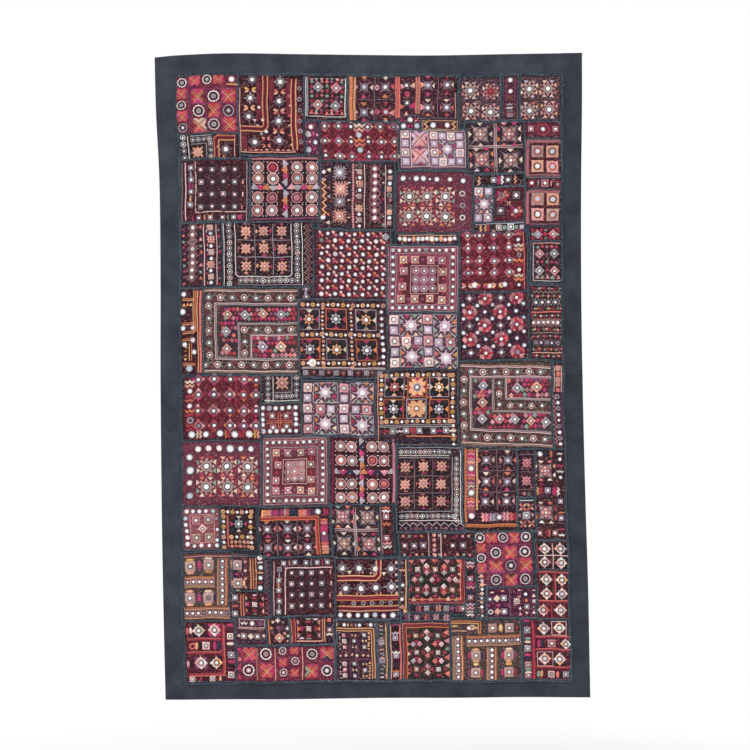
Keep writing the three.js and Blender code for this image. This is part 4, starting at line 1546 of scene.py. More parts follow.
def big_eye(x, y, s, outer, iris, bright):
    """A square worked solid in radiating stitches, with three rings and a mirror in its middle."""
    pad("square", x, y, s * 0.9, s * 0.9, outer, 0, 0.5)
    pad("cross_star", x, y, s * 1.36, s * 1.36, outer, 45, 0.8)
    ring(x, y, s * 0.58, s * 0.84, "a" if outer == "h" else "k", 1.3, sides=24, lobe=0.1)
    ring(x, y, s * 0.38, s * 0.58, iris, 1.7, sides=20, lobe=0.04)
    ring(x, y, s * 0.2, s * 0.38, "w" if bright else "P", 1.8, sides=14)
    glint(x, y, s * 0.24, 0 if bright else 1, 1.5)


def tooth_cord(x0, y0, x1, y1):
    """A red cord with a fine rosy zigzag worked over it and a pale thread on each side."""
    twin("zz", 1.6, 6.6, (x0, y0), (x1, y1))
    cord([(x0, y0), (x1, y1)], 4.6, "r", 0.6)
    zigzag("p", 1.5, x0, y0, x1, y1, 5, 2)


tooth_cord(871, 291, 871, 208)
tooth_cord(871, 208, 948, 208)
tooth_cord(872, 290, 950, 290)
for x, y, outer, iris, bright in ((895, 232, "h", "r", False), (930, 233, "k", "n", False),
                                  (895, 267, "k", "b", True), (930, 269, "p", "r", False)):
    big_eye(x, y, 16.5, outer, iris, bright)
sew("big_eyes_four", 867, 950, 203, 293, "#3a1a22", "drz")

row("Br8 |g8 Bpr9 |p8 Br8", 881, 307, 944, 308, 9)
sew("square_strip_right", 868, 950, 293, 322, "#3a1520")

tooth_cord(873, 404, 873, 326)
tooth_cord(873, 326, 950, 326)
level("z", 2.4, 404, 876, 950)
for x, y, outer, iris, bright in ((897, 345, "h", "c", False), (933, 345, "k", "n", False),
                                  (897, 381, "p", "b", True), (933, 382, "h", "r", False)):
    big_eye(x, y, 17, outer, iris, bright)
sew("big_eyes_lower", 868, 951, 322, 407, "#3a1a22", "drz")

# ----------------------------------------------------------
# Checked patches: small square mirrors in rows on a woven check of black and maroon, with pale
# cords down the side and a strip of squiggles and coloured pads.

def checked(x0, x1, y0, y1, columns, rows, s):
    """Small mirrors, each in a dark square with pale corners, where black bands cross and leave
    a check of dark maroon."""
    xs, ys = np.linspace(x0, x1, columns), np.linspace(y0, y1, rows)
    bar = (xs[1] - xs[0]) * 0.52
    for x in xs:
        line("d", bar, (x, y0 - bar * 0.9), (x, y1 + bar * 0.9))
    for k, y in enumerate(ys):
        line("d", bar, (x0 - bar * 0.9, y), (x1 + bar * 0.9, y))
        for i, x in enumerate(xs):
            ring(x, y, s * 0.95, s * 1.35, "zgPz"[(i + 2 * k) % 4], 1.8, sides=4, turn=45)
            pad("square", x, y, s * 0.72, s * 0.72, "d", 0, 1.7)
            ring(x, y, s * 0.38, s * 0.62, "Pkg"[(i + k) % 3], 2.1, sides=8)
            glint(x, y, s * 0.44, rise=2.1)


upright("P", 3, 62, 254, 391)
line("q", 4, (54, 254), (53, 391))
row("Bg6.5 sg7 Bg6.5 smv7 Bg6.5 sj7 Bg6.5", 74, 268, 74, 354, 7)
line("P", 3, (86, 254), (86, 373), (205, 373))
upright("g", 2.4, 207, 253, 394)
checked(98, 178, 274, 361, 4, 4, 6)
row("|k7 |P7 |p7", 198, 302, 196, 361, 7)
row("sm6 Bz6 sj6 Bk6 sn6 Bq6 st6 Bg6 qm7", 78, 386, 191, 386, 6)
sew("checked_left", 50, 213, 250, 396, "#331720", "dxb", 9)

checked(570, 614, 1160, 1160, 3, 1, 7)
checked(684, 708, 1160, 1160, 2, 1, 7)
row("qp4 qt4 qm4 qo4 _ qc4 ql4 qk4 _ qm4 qp4 qg4", 569, 1138, 722, 1138, 4)
row("qg4 qr4 qk4 qa4 _ qp4 ql4 qc4 _ qk4 qt4 qp4", 569, 1182, 722, 1182, 4)
upright("P", 2.2, (627, 656), 1132, 1187)
row(".k12 .p12 .k12 .p12 .k12", 641, 1137, 641, 1183, 12)
sew("checked_middle", 560, 733, 1129, 1188, "#331720", "dxb", 9)

upright("P", 2.4, 261, 1194, 1322)
row("Bg6 sg6 Bg6 sj6 Bg6 sm6 Bg6 sg6 Bg6", 273, 1213, 273, 1314, 6)
line("P", 3, (288, 1320), (288, 1211), (398, 1211))
row("Bg6 sa6 Bg6 sn6 Bg6 st6 Bg6 sm6 Bg6", 284, 1199, 388, 1199, 6)
checked(303, 373, 1223, 1300, 4, 4, 6)
row("|k7 |P7 |p7 |k7", 394, 1222, 394, 1300, 6)
sew("checked_foot", 256, 403, 1190, 1323, "#331720", "dxb", 9)

# ----------------------------------------------------------
# Ringed-circle patches: buttonhole circles in pink, coral and crimson round mirrors, with white
# flecks at the corners, parted by bands of triangles in grey, magenta, orange and rose.

def circles(columns, rows, s, codes):
    """Four circles, a black line round each and a white fleck at each of its corners."""
    for code, (x, y) in zip(codes.split(), ((x, y) for y in rows for x in columns)):
        oblong("b", 1.8, x - s * 1.2, x + s * 1.2, y - s * 1.16, y + s * 1.16)
        stitch(code, x, y, s)
        for dx, dy in ((-1, -1), (1, -1), (-1, 1), (1, 1)):
            pad("disc", x + dx * s * 0.96, y + dy * s * 0.93, 1.8, 1.8, "w", 0, 1.2)


def big_ring(x, y, s, dye, turn):
    """A pale rim, a broad ring, a narrow pale one and a dark one round a mirror."""
    ring(x, y, s * 0.86, s * 1.02, "P", 1.3, sides=20, lobe=0.02)
    ring(x, y, s * 0.62, s * 0.86, dye[0], 1.4, sides=20)
    ring(x, y, s * 0.5, s * 0.62, "e", 1.2, sides=16)
    ring(x, y, s * 0.34, s * 0.5, "d" if dye[1] == "b" else dye[1], 1.0, sides=12)
    glint(x, y, s * 0.38)


MOTIFS["U"] = big_ring


def triangles(dyes, x0, y0, x1, y1, s):
    """A band of big triangles fitted head to foot, each edged in black and with a white fleck."""
    turn = math.degrees(math.atan2(y1 - y0, x1 - x0))
    for k, (x, y) in enumerate(spaced(x0, y0, x1, y1, len(dyes))):
        pad("up", x, y, s * 1.2, s * 0.86, "b", turn + 180 * (k % 2), 0.5)
        pad("up", x, y, s * 0.98, s * 0.68, dyes[k], turn + 180 * (k % 2), 1.1)
        pad("disc", *offset(x, y, 0, s * (0.3 - 0.6 * (k % 2)), turn), 1.7, 1.7, "w", 0, 1.9)


line("z", 6, (218, 248), (376, 247))
line("c", 2, (218, 248), (376, 247))
line("v", 6, (219, 389), (376, 388))
circles((234, 269), (268, 294), 13.8, "Uzb Qpr Ucp Upb")
circles((326, 361), (268, 294), 13.8, "Upb Ucp Urb Uzb")
circles((233, 267), (339, 369), 13.8, "Uzb Qpz Urb Upb")
circles((326, 361), (339, 369), 13.8, "Qzz Upb Uzb Ucp")
triangles("gmogpnpgmog", 224, 315, 372, 315, 13)
triangles("gomg", 298, 259, 298, 303, 13)
triangles("gomg", 299, 330, 299, 378, 13)
sew("ringed_circles_top", 216, 379, 243, 393, "#3a1420", "drfx", 10)

upright("f", 8, 405, 907, 1056)
upright("z", 7, 549, 907, 1056)
circles((424, 450), (925, 958), 12.6, "Uzb Upb Ucp Uzb")
circles((498, 525), (925, 958), 12.6, "Upb Uzb Qpc Urb")
circles((424, 450), (1013, 1045), 12.6, "Urb Uzb Upb Ucp")
circles((498, 525), (1013, 1045), 12.6, "Ucp Qzc Uzb Upb")
triangles("gnmgo", 473, 911, 473, 970, 12)
triangles("mgomg", 473, 998, 473, 1052, 12)
triangles("gmngomnpg", 412, 985, 543, 985, 12)
sew("ringed_circles_foot", 400, 554, 903, 1060, "#3a1420", "drfx", 10)

# ----------------------------------------------------------
# Long strips: narrow bands of mirrors, big flowers and lattice side by side, each between cords
# and edged with small coloured pads.

def flower_square(x, y, half_x, half_y, dye, middle):
    """A square flower: satin fringe all round, a dark ring and an eye."""
    pad("square", x, y, half_x * 0.74, half_y * 0.74, "z" if dye == "k" else "q", 0, 0.7)
    pad("cross_star", x, y, half_x * 0.95, half_y * 0.95, dye, 45, 1.2)
    for k in range(4):
        reach, span = (half_x, half_y) if k % 2 == 0 else (half_y, half_x)
        for t in (-0.6, -0.2, 0.2, 0.6):
            pad("leaf", *offset(x, y, reach * 0.8, span * t, 90 * k), reach * 0.22, span * 0.12, dye, 90 * k)
    ring(x, y, 3.4, 5.6, middle, 1.7, sides=12)
    glint(x, y, 3.6, rise=1.3)


zigzag("j", 3.4, 390, 296, 391, 382, 15, 4.5)
zigzag("u", 3, 384, 300, 385, 384, 15, 4)
row("_ ow6 ow5 _ ow5 _ _ ow9", 388, 262, 388, 384, 6)
row("<e6 qn5 <p5 <g5 qn5 <c5 <e6", 401, 274, 401, 398, 5)
flower_square(427, 279, 16, 17, "g", "d")
glint(427, 279, 5, 0, 2)
flower_square(429, 318, 18, 20, "k", "c")
flower_square(428, 349, 14, 12, "g", "v")
flower_square(428, 382, 17, 16, "k", "q")
row(":n5 qn5 :w5 qn5 :e5 qn5 :k5 qn5", 449, 262, 449, 404, 4)
run("dp4", 459, 260, 459, 406, 6, 5)
row("0q7 qh8 oq7 fk9 oq7 qh8 0u7 fk9 oq7 qh8 oq6", 474, 262, 474, 404, 9)
upright("P", 2.2, 486, 258, 408)
run("|k4 |w4 |m4", 466, 262, 466, 404, 10, 4)
trellis("z", 2, 498, 525, 260, 396, 27, 17)
for k, y in enumerate(np.linspace(268, 385, 8)):
    ring(510, y, 9.5, 11.5, "z", 0.9, sides=4)
    ring(510, y, 3.2, 5.6, "P" if k != 5 else "r", 1.5, sides=12)
    glint(510, y, 3.6, rise=1.2)
row("qn5 qt4 ql3 qn5 qr4 qn5 ql3 qt4", 531, 262, 531, 400, 4)
line("P", 2.2, (535, 260), (536, 408))
row("oq7.5 qh7 oq8 qk8 0g7 qz5 0q7 qk8 oq8 qh7", 546, 277, 546, 398, 9)
sew("long_strips_top", 380, 553, 253, 412, "#2b1c24", "vnxqd", 8)

run("qv4 qc4 qt4 qm4", 56, 412, 56, 540, 15, 4)
for k, (x, y) in enumerate(zip(np.linspace(78, 74, 8), np.linspace(408, 526, 8))):
    ring(x, y, 10.6, 12.6, "h", 1.0, sides=4)
    ring(x, y, 7.6, 9.2, "z", 1.1, sides=4)
    stitch("0g6" if k == 2 else "oP6", x, y, 6)
run("^c5 qn4 ^p5 qt4", 96, 408, 96, 544, 15, 4)
upright("P", 2.4, 104, 402, 546)
row("qh9 oq7 fk9.5 oq7 qh9 oq7 fk9.5 oq7 qh9 oq7", 120, 410, 120, 540, 9)
upright("P", 2.4, 134, 402, 546)
run("|k4 |w4 |m4 |n4", 111, 408, 111, 540, 11, 4)
run("qn4 qt3 qr4", 140, 404, 140, 544, 13, 4)
sew("long_strips_left", 50, 146, 398, 549, "#2c1a25", "vxnqd", 8)

row("ow7 oj8 ow7 dj8 ow8 oh8 ow7 oj9 ow7 dj8 ow7 oj8 ow7", 569, 436, 700, 436, 9)
level("k", 2, 427, 566, 704)
run("|k4 |n4 |m4", 574, 445, 700, 445, 12, 3)
sew("mirror_strip_middle", 562, 706, 424, 448, "#35171f")

row("sk10 _ Bg7 smw10 Bq8 sk9", 757, 298, 843, 298, 9)
sew("chevron_strip_right", 746, 861, 284, 311, "#141214")

for x, y in ((846, 335), (810, 371)):
    pad("square", x, y, 14, 14, "d", 0, 0.4)
    stitch("Bq9", x, y, 9)
    stitch("xx14", x, y, 14)
for x, y in ((811, 335), (846, 372)):
    stitch("xrpmc16", x, y, 16)
    stitch("+crfx18", x, y, 18)
    ring(x, y, 7, 9, "x", 1.2, sides=12)
    stitch("ow9" if x > 830 else "0t9", x, y, 9)
stitch("xkeke7", 829, 354, 7)
sew("red_black_four", 792, 865, 315, 396, "#4c1a26", "xdfr", 8)

row("sj8 sjr8 _ Bwr7 qt6 Bwb8 qt6 ql7", 762, 410, 860, 410, 9)
line("g", 2.4, (750, 401), (865, 400))
sew("gold_squiggle_strip", 748, 866, 399, 419, "#1b1719")

# ----------------------------------------------------------
# Polka patch: staggered rows of small mirrors, and coral and pink petals in every other cell.

for j, y in enumerate(np.linspace(424, 566, 10)):
    for i in range(10):
        x = 382 + 16.2 * i + (1.0 if j % 2 else 0.0)
        if (i + j) % 2 and (i, j) != (9, 0):
            stitch("ow6.8", x, y, 7)
        else:
            for k, dye in enumerate(("ckpcP"[(i + 2 * j) % 5], "r", "PkopP"[(2 * i + j) % 5], "x")):
                turn = 45 + 90 * k + 9 * chance.standard_normal()
                spoke("leaf", x, y, 1, turn, 4.4, 4.8, 3.7, dye, 0, 1.2 - 0.2 * (k % 2))
stitch("Lgw9", 536, 430, 9)
sew("polka_middle", 366, 546, 414, 576, "#3c1b28", "vrdzv", 6)

# ----------------------------------------------------------
# Nested patches: bands of pink and grey rings turn the corner of a square, one inside the other,
# with bands of salmon and grey diamonds between them and pale double cords at every edge.

def ringed_band(x0, y0, x1, y1, count, dyes, s=8.5):
    """A band of stitched rings, pink and grey by turns, each with a paler ring inside and a fleck
    of mirror, and small leaves aslant before and behind it."""
    along = 90 * (x0 == x1)
    for k, (x, y) in enumerate(spaced(x0, y0, x1, y1, count)):
        pale = dyes[k % len(dyes)] == "p"
        ring(x, y, s * 0.66, s * 0.96 if pale else s * 0.84, "P" if pale else "g", 1.2, sides=14, lobe=0.03)
        ring(x, y, s * 0.26, s * 0.44, "e" if pale else "w", 1.1, sides=10)
        glint(x, y, s * 0.3, 0)
        for side in (-1, 1):
            before, behind = "art"[(k + side) % 3], "zur"[(k + side) % 3]
            spoke("leaf", x, y, s, along, 1.25, 0.6, 0.2, before, 50 * side, aside=side * 0.5)
            spoke("leaf", x, y, s, along, -1.2, 0.55, 0.16, behind, -50 * side, aside=side * 0.5)


def small_diamonds(x0, x1, rows, pitch):
    """Rows of small diamonds in crimson, plum and magenta, wherever no pale diamond stands."""
    for j, y in enumerate(rows):
        for x in np.arange(x0, x1, pitch):
            near = min([math.hypot(x - a, y - b) for a, b, *_ in rings.get(4, [])] + [99])
            if near > 9:
                dye = "rfmcrvrptrmzx"[chance.integers(13)]
                pad("diamond", x + pitch / 2 * (j % 2), y, pitch * 0.62, pitch * 0.7, dye, 0, 0.9)
                pad("diamond", x + pitch / 2 * (j % 2), y, pitch * 0.18, pitch * 0.2, "rcz"[j % 3], 0, 1.4)


twin("Pa", 2.6, 3.4, (103, 558), (326, 558))
ringed_band(116, 575, 311, 575, 8, "gp")
ringed_band(116, 595, 116, 710, 5, "pg")
for x, y, half_x, half_y in ((229, 613, 92, 19), (160, 665, 23, 48), (271, 691, 52, 24)):
    pad("square", x, y, half_x, half_y, "d", 0, 0.3)
twin("Pg", 2.6, 3.4, (326, 590), (132, 590), (132, 719), (326, 719))
ringed_band(107, 733, 305, 733, 8, "gp")
twin("aP", 2.6, 3.4, (103, 749), (326, 749))
row("Lk _ Lg _ Lk _ Lg", 160, 615, 288, 613, 11.5)
row("_ Lg Lk", 159, 615, 157, 697, 11.5)
small_diamonds(146, 319, (603, 613, 624), 9.5)
small_diamonds(146, 178, (636, 647, 664, 676, 706), 9.5)
twin("gh", 2.2, 3, (326, 636), (187, 636), (187, 718))
ringed_band(200, 650, 311, 650, 5, "pg")
ringed_band(200, 678, 200, 705, 2, "gp")
twin("gP", 2.2, 3, (326, 662), (215, 662), (215, 718))
row("Lg12.5 Lk13", 243, 690, 287, 691, 13)
small_diamonds(222, 318, (670, 681, 699, 710), 10)
sew("nested_bands_left", 102, 328, 552, 756, "#3a332f", "astqru", 6.5)

twin("Pa", 2.6, 3.4, (710, 734), (924, 742))
ringed_band(735, 749, 900, 753, 7, "gp")
ringed_band(718, 767, 718, 902, 6, "pg")
for x, y, half_x, half_y, turn in ((761, 808, 24, 40, 0), (828, 868, 90, 17, 0.06), (871, 789, 50, 21, 0)):
    pad("square", x, y, half_x, half_y, "d", turn, 0.3)
twin("Pg", 2.6, 3.4, (924, 766), (734, 761), (735, 885), (924, 897))
ringed_band(744, 903, 908, 912, 7, "gp")
twin("aP", 2.6, 3.4, (710, 917), (924, 928))
row("Lg Lk Lg", 763, 782, 762, 861, 12)
row("Lp Lg Lk Lg", 803, 862, 911, 871, 11.5)
row("Lg Lk", 845, 789, 890, 789, 13)
small_diamonds(745, 781, (770, 797, 806, 837, 846), 10)
small_diamonds(781, 916, (855, 868, 881), 10.5)
small_diamonds(825, 916, (772, 783, 795, 807), 10.5)
twin("gh", 2.2, 3, (788, 764), (788, 842), (924, 850))
twin("gP", 2.2, 3, (818, 765), (818, 814), (924, 819))
ringed_band(802, 777, 802, 827, 3, "gp", 7.6)
ringed_band(828, 831, 904, 833, 4, "pg", 7.6)
sew("nested_bands_right", 707, 926, 727, 931, "#3a332f", "astqru", 6.5)

# ----------------------------------------------------------
# Boxed stars: peach or grey stars in square frames of grey or orange stitching, on black, with
# rows of peach, gold and white discs in the alleys between the boxes.

def box_star(x, y, s, dye, frame_dye, tips, bed="b"):
    """A framed flower of eight blunt points with a ringed mirror, and a triangle at each side."""
    pad("square", x, y, s * 0.9, s * 0.9, bed, 0, 0.3)
    ring(x, y, s * 1.3, s * 1.42, frame_dye, 1.3, sides=4, turn=45)
    pad("star", x, y, s * 0.62, s * 0.62, dye, 0, 0.9)
    pad("flower", x, y, s * 0.52, s * 0.52, dye, 22.5, 1.2)
    for k in range(4):
        spoke("leaf", x, y, s, 45 + 90 * k, 0.98, 0.26, 0.17, "xnfd"[k], 0, 0.7)
        spoke("up", x, y, s, 90 * k, 0.8, 0.34, 0.2, tips[k % len(tips)], -90, 1.2)
    ring(x, y, s * 0.2, s * 0.32, "b" if dye == "g" else "x", 1.9, sides=12)
    ring(x, y, s * 0.1, s * 0.2, "w", 1.9, sides=10)
    glint(x, y, s * 0.17, 0, rise=1.9)


def discs(x0, y0, x1, y1, pitch, dyes="jwywkw", s=5.6):
    """A row of little stitched discs, a mirror in every white one."""
    for k, (x, y) in enumerate(spaced(x0, y0, x1, y1, fitting(x0, y0, x1, y1, pitch))):
        if dyes[k % len(dyes)] == "w":
            ring(x, y, s * 0.42, s * 0.66, "w", 1.1, sides=10)
            glint(x, y, s * 0.46, 0)
        else:
            ring(x, y, s * 0.3, s * 0.98, dyes[k % len(dyes)], 1.2, sides=12)
            pad("disc", x, y, s * 0.34, s * 0.34, "a", 0, 1.2)


discs(339, 592, 530, 592, 12)
for k, (x, y) in enumerate(((354, 626), (418, 625), (489, 626), (354, 697), (418, 697), (489, 697))):
    box_star(x, y, 25, "jgjgjg"[k], "gogogo"[k], ("me", "rm", "ea", "om", "ex", "om")[k])
discs(386, 600, 386, 738, 10, "jw", 4)
discs(454, 600, 454, 738, 10, "jw", 4)
discs(338, 662, 518, 662, 11)
discs(338, 730, 518, 729, 12)
ring(360, 729, 7, 9.5, "w", 1.2)
glint(360, 729, 7.5, 0)
row("ow " * 9, 526, 608, 528, 728, 6.4)
twin("gP", 2, 3, (335, 741), (533, 741))
row("fgd7 Quz6 fgd7 Quz6 fgd7 Quz6 fgd7 Quz6 fgd7 Quz6 fgd7", 346, 752, 520, 752, 7, loose=0.8)
row("ow4 _ ow4 _ ow4 _ ow4 _ ow4 _ ow4", 346, 752, 520, 752, 4)
sew("boxed_stars_middle", 332, 536, 582, 761, "#2a1a24", "dxvd", 9)

upright("k", 2.4, 515, 752, 924)
discs(523, 757, 523, 868, 11)
discs(692, 757, 692, 920, 11)
discs(534, 757, 684, 757, 12)
discs(534, 867, 684, 867, 12)
for k, (x, y) in enumerate(((554, 785), (608, 786), (660, 786), (552, 837), (606, 837), (660, 838))):
    box_star(x, y, 23.5, "cgjgjg"[k], "gogogo"[k], ("ek", "rm", "ek", "me", "ex", "om")[k], "bjbbjb"[k])
row("wo8 wo8", 581, 811, 635, 811, 8)
row("wk7 wk7", 581, 786, 635, 786, 7, 90)
twin("gg", 2, 4, (515, 877), (690, 877))
row("Mr8 Bg7 Mw8 Bg7 Xrmr7 Bg7 Mb8 Bg7 Mm8 Bg7 Mw8", 535, 889, 690, 889, 7)
level("o", 3, 902, 580, 700)
zigzag("n", 3, 520, 912, 698, 912, 12, 3)
sew("boxed_stars_right", 512, 702, 747, 926, "#2a1c22", "dxad", 9)

discs(146, 1079, 212, 1079, 12)
discs(146, 1090, 146, 1162, 12)
discs(210, 1090, 210, 1162, 12)
box_star(182, 1107, 21, "g", "d", "me")
upright("c", 4, 156, 1086, 1162)
discs(164, 1138, 202, 1138, 11)
discs(164, 1150, 202, 1150, 10, "kk", 4)
discs(164, 1160, 202, 1160, 10, "kc", 4)
sew("boxed_star_small", 139, 221, 1069, 1166, "#2a1c20", "dxad", 9)

# ----------------------------------------------------------
# Square-in-square patches: a frame of small mirrors on mauve, a ring of coral squares on black,
# and a field of pink rosettes in the middle.

def mirror_frame(x0, x1, y0, y1, pitch, s=7.5):
    """Small mirrors all round the inside of an edge."""
    run("ow", x0, y0, x1, y0, pitch, s)
    run("ow", x0, y1, x1, y1, pitch, s)
    run("ow", x0, y0 + pitch, x0, y1 - pitch, pitch, s)
    run("ow", x1, y0 + pitch, x1, y1 - pitch, pitch, s)


def coral_square(x, y, s, dye):
    """A satin square with drawn-in sides and pale tips, round a dark ring and a mirror."""
    pad("cross_star", x, y, s * 1.28, s * 1.28, "P" if dye in "pk" else "h", 45, 0.7)
    pad("square", x, y, s * 0.8, s * 0.8, dye, 0, 1.0)
    ring(x, y, s * 0.34, s * 0.54, "d", 1.7, sides=12)
    ring(x, y, s * 0.16, s * 0.34, "w", 1.5, sides=10)
    glint(x, y, s * 0.2, rise=1.1)


def rosettes(x0, x1, y0, y1, s):
    """Nine mirrors, each in thin rings of dusty pink, pale pink and dark thread."""
    for y in np.linspace(y0, y1, 3):
        for x in np.linspace(x0, x1, 3):
            ring(x, y, s * 0.86, s * 1.02, "h", 1.0)
            ring(x, y, s * 0.6, s * 0.76, "P", 1.2)
            stitch("ow", x, y, s * 0.5)


pad("square", 622, 531, 62, 61, "x", 0, 0.3)
run("qr5 qv5 qu4", 572, 498, 572, 564, 11, 5)
run("qr5 qv5 qu4", 672, 498, 672, 564, 11, 5)
run("qv5 qr5 qu4", 588, 485, 656, 486, 11, 5)
run("qv5 qr5 qu4", 588, 578, 656, 578, 11, 5)
mirror_frame(552, 694, 462, 598, 16, 6)
twin("pg", 1.8, 5, (546, 456), (703, 456), (703, 604), (544, 604), (544, 456))
oblong("g", 1.6, 559, 687, 469, 592)
for x, y in ((577, 484), (604, 485), (641, 486), (668, 487), (577, 511), (671, 514),
             (575, 548), (669, 552), (572, 577), (604, 577), (640, 577), (669, 580)):
    coral_square(x, y, 11.5, "pkhp"[int(x + y) % 4])
pad("square", 626, 532, 31, 32, "v", 0, 0.5)
oblong("P", 1.6, 594, 659, 499, 565)
rosettes(606, 646, 511, 553, 9.5)
sew("square_in_square_middle", 540, 708, 451, 608, "#7d3d4e", "vzmv")

pad("square", 314, 984, 54, 54, "x", 0, 0.3)
run("qr5 qv5 qu4", 272, 955, 272, 1016, 10, 5)
run("qr5 qv5 qu4", 354, 955, 354, 1016, 10, 5)
run("qv5 qu5 qn4", 286, 941, 342, 941, 9, 5)
run("qv5 qu5 qn4", 286, 1028, 342, 1028, 9, 5)
mirror_frame(251, 381, 915, 1052, 15, 6)
twin("pg", 1.8, 5, (244, 908), (388, 908), (388, 1058), (244, 1058), (244, 908))
oblong("g", 1.6, 259, 369, 927, 1041)
for x, y in ((272, 940), (299, 940), (329, 940), (355, 939), (275, 968), (353, 968),
             (271, 1004), (353, 1003), (271, 1028), (299, 1028), (328, 1028), (354, 1030)):
    coral_square(x, y, 10.5, "kazp"[int(x + y) % 4])
pad("square", 315, 984, 27, 28, "z", 0, 0.5)
oblong("P", 1.6, 287, 343, 955, 1013)
rosettes(299, 331, 967, 1001, 8.5)
sew("square_in_square_left", 239, 394, 902, 1064, "#74434c", "vzmv")

mirror_frame(243, 321, 834, 888, 15)
row("Ba7 Bp7", 266, 853, 298, 853, 7)
row("Bp7 Ba7", 266, 879, 298, 879, 7)
twin("co", 1.8, 5, (282, 842), (282, 890))
twin("oc", 1.8, 5, (252, 866), (312, 866))
sew("square_in_square_small", 239, 331, 825, 896, "#5c2430", "Pzcd")

row("ow7 " * 5, 60, 1077, 122, 1078, 7)
row("ow7 ow7 ow7 ow7 ow9", 58, 1093, 59, 1153, 7)
row("ow7 " * 4, 76, 1158, 128, 1158, 7)
row("ow6 " * 3, 130, 1095, 130, 1145, 6)
for x, y in ((82, 1098), (111, 1097), (81, 1139), (111, 1139)):
    coral_square(x, y, 12.5, "za"[int(x) % 2])
row("LPp10", 96, 1118, 96, 1118, 10)
oblong("p", 2, 68, 124, 1085, 1151)
sew("square_in_square_foot", 51, 138, 1069, 1166, "#7d4650", "Pzvp")

# ----------------------------------------------------------
# Red-petal patch: a close net of mirrors with eight-petalled red and pink flowers laid over it.

for j, y in enumerate(np.linspace(576, 705, 9)):
    for i, x in enumerate((735, 771, 808, 846) if j % 2 == 0 else (720, 753, 789, 828, 863)):
        if j % 2 == 0 and (i + j // 2) % 2:
            for k in range(8):
                turn = 45 * k + 4 * chance.standard_normal()
                spoke("leaf", x, y, 1, turn, 12.4, 7.2, 5.2, "zrRrpfrz"[(k + i) % 8])
                spoke("leaf", x, y, 1, turn + 22, 14.0, 4.2, 1.9, "pPcke"[(k + i + j) % 5], -22, 1.2)
            ring(x, y, 5.5, 7.5, "r", 1.3)
        else:
            pad("diamond", x, y, 11, 11, "n" if j % 4 else "q", 0, 0.5)
        stitch(("oz", "oq", "og")[(i + j) % 3], x, y, 6.4)
sew("red_petals_right", 712, 873, 564, 719, "#2d1723", "rvdv", 6)

# ----------------------------------------------------------
# Striped patch: many level rows, one stitch to a row: diamonds, zigzags, mirrors and small pads.

def small_scraps(y, dyes):
    """A row of little diamonds in a few dyes."""
    run(" ".join(f"d{dye}3.8" for dye in dyes), 884, y, 950, y, 6.4, 4, loose=0.8)


for y, dyes in ((556, "rftz"), (574, "tfkr"), (604, "ftor"), (620, "rtfe"), (653, "tkrf"), (669, "zrtf"),
                (700, "trof"), (716, "rkft")):
    small_scraps(y, dyes)
for y, dye in ((564, "h"), (628, "c"), (644, "z"), (677, "v")):
    zigzag(dye, 1.3, 883, y, 952, y, 11, 2.4)
for y, pitch, reach, dye in ((588, 15, 8, "g"), (636, 11, 7, "P"), (684, 12.5, 7, "q")):
    for side in (-1, 1):
        zigzag(dye, 1.3, 884, y, 951, y, pitch, side * reach)
line("c", 3.4, (881, 612), (951, 611))
line("h", 1.8, (881, 661), (951, 660))
line("k", 2.6, (880, 708), (951, 707))
row("oq5.4 " * 4, 893, 588, 938, 588, 5)
row("oh5.6 " * 6, 886, 636, 944, 636, 6)
row("0g5 oq4.2 0g5 oq4.2 0g5", 890, 684, 941, 684, 5)
sew("striped_right", 877, 952, 547, 723, "#232023", "dsxd", 9)

# ----------------------------------------------------------
# Eye-diamond patches: fat diamonds in pink, peach and cream round a dark-ringed mirror, each on
# black, maroon or plum, parted by crimson and coral cords and edged with small satin squares.

def ringed_eye(x, y, s):
    """A dark ring, a white one and a mirror: what every diamond and square here holds."""
    ring(x, y, s * 0.6, s * 0.96, "dx"[int(x) % 2], 1.9, sides=14)
    ring(x, y, s * 0.32, s * 0.6, "w", 2.0, sides=12)
    glint(x, y, s * 0.36, chance.choice(3, p=[0.6, 0.25, 0.15]), rise=1.9)


def eye_diamond(x, y, s, dyes, bed="b"):
    """A diamond worked from its four corners in four dyes, on a square bed."""
    s = s * 1.16
    pad("square", x, y, s * 0.95, s * 0.95, bed, 0, 0.3)
    pad("diamond", x, y, s, s, dyes[0], 0, 0.9)
    for k in range(4):
        spoke("up", x, y, s, 90 * k, 0.62, 0.42, 0.34, dyes[k], 90, 1.5)
        spoke("leaf", x, y, s, 45 + 90 * k, 0.56, 0.3, 0.12, dyes[3 - k], 0, 1.4)
    ringed_eye(x, y, s * 0.48)


def eye_square(x, y, s, dye, other="P"):
    """A square of fanned satin round an eye."""
    pad("cross_star", x, y, s * 1.35, s * 1.35, other, 45, 0.9)
    pad("square", x, y, s * 0.86, s * 0.86, dye, 0, 1.1)
    ringed_eye(x, y, s * 0.62)


def half_moons(x, y, s, dyes, turn=0.0):
    """Two fat half-moons back to back."""
    for k, dye in enumerate(dyes):
        spoke("leaf", x, y, s, turn, 0.55 if k else -0.55, 1.35, 0.6, dye, 90)


for x, y, dyes in ((899, 1170, "Pepw"), (936, 1170, "gPkP"), (898, 1202, "pPew"), (937, 1203, "ePpw")):
    eye_diamond(x, y, 13.5, dyes)
upright("P", 2.4, 918, 1157, 1219)
level("P", 2.4, 1186, 883, 953)
upright("r", 2.6, 882, 1157, 1219)
sew("eye_diamonds_small", 881, 952, 1153, 1221, "#2c171d", "xdf", 9)

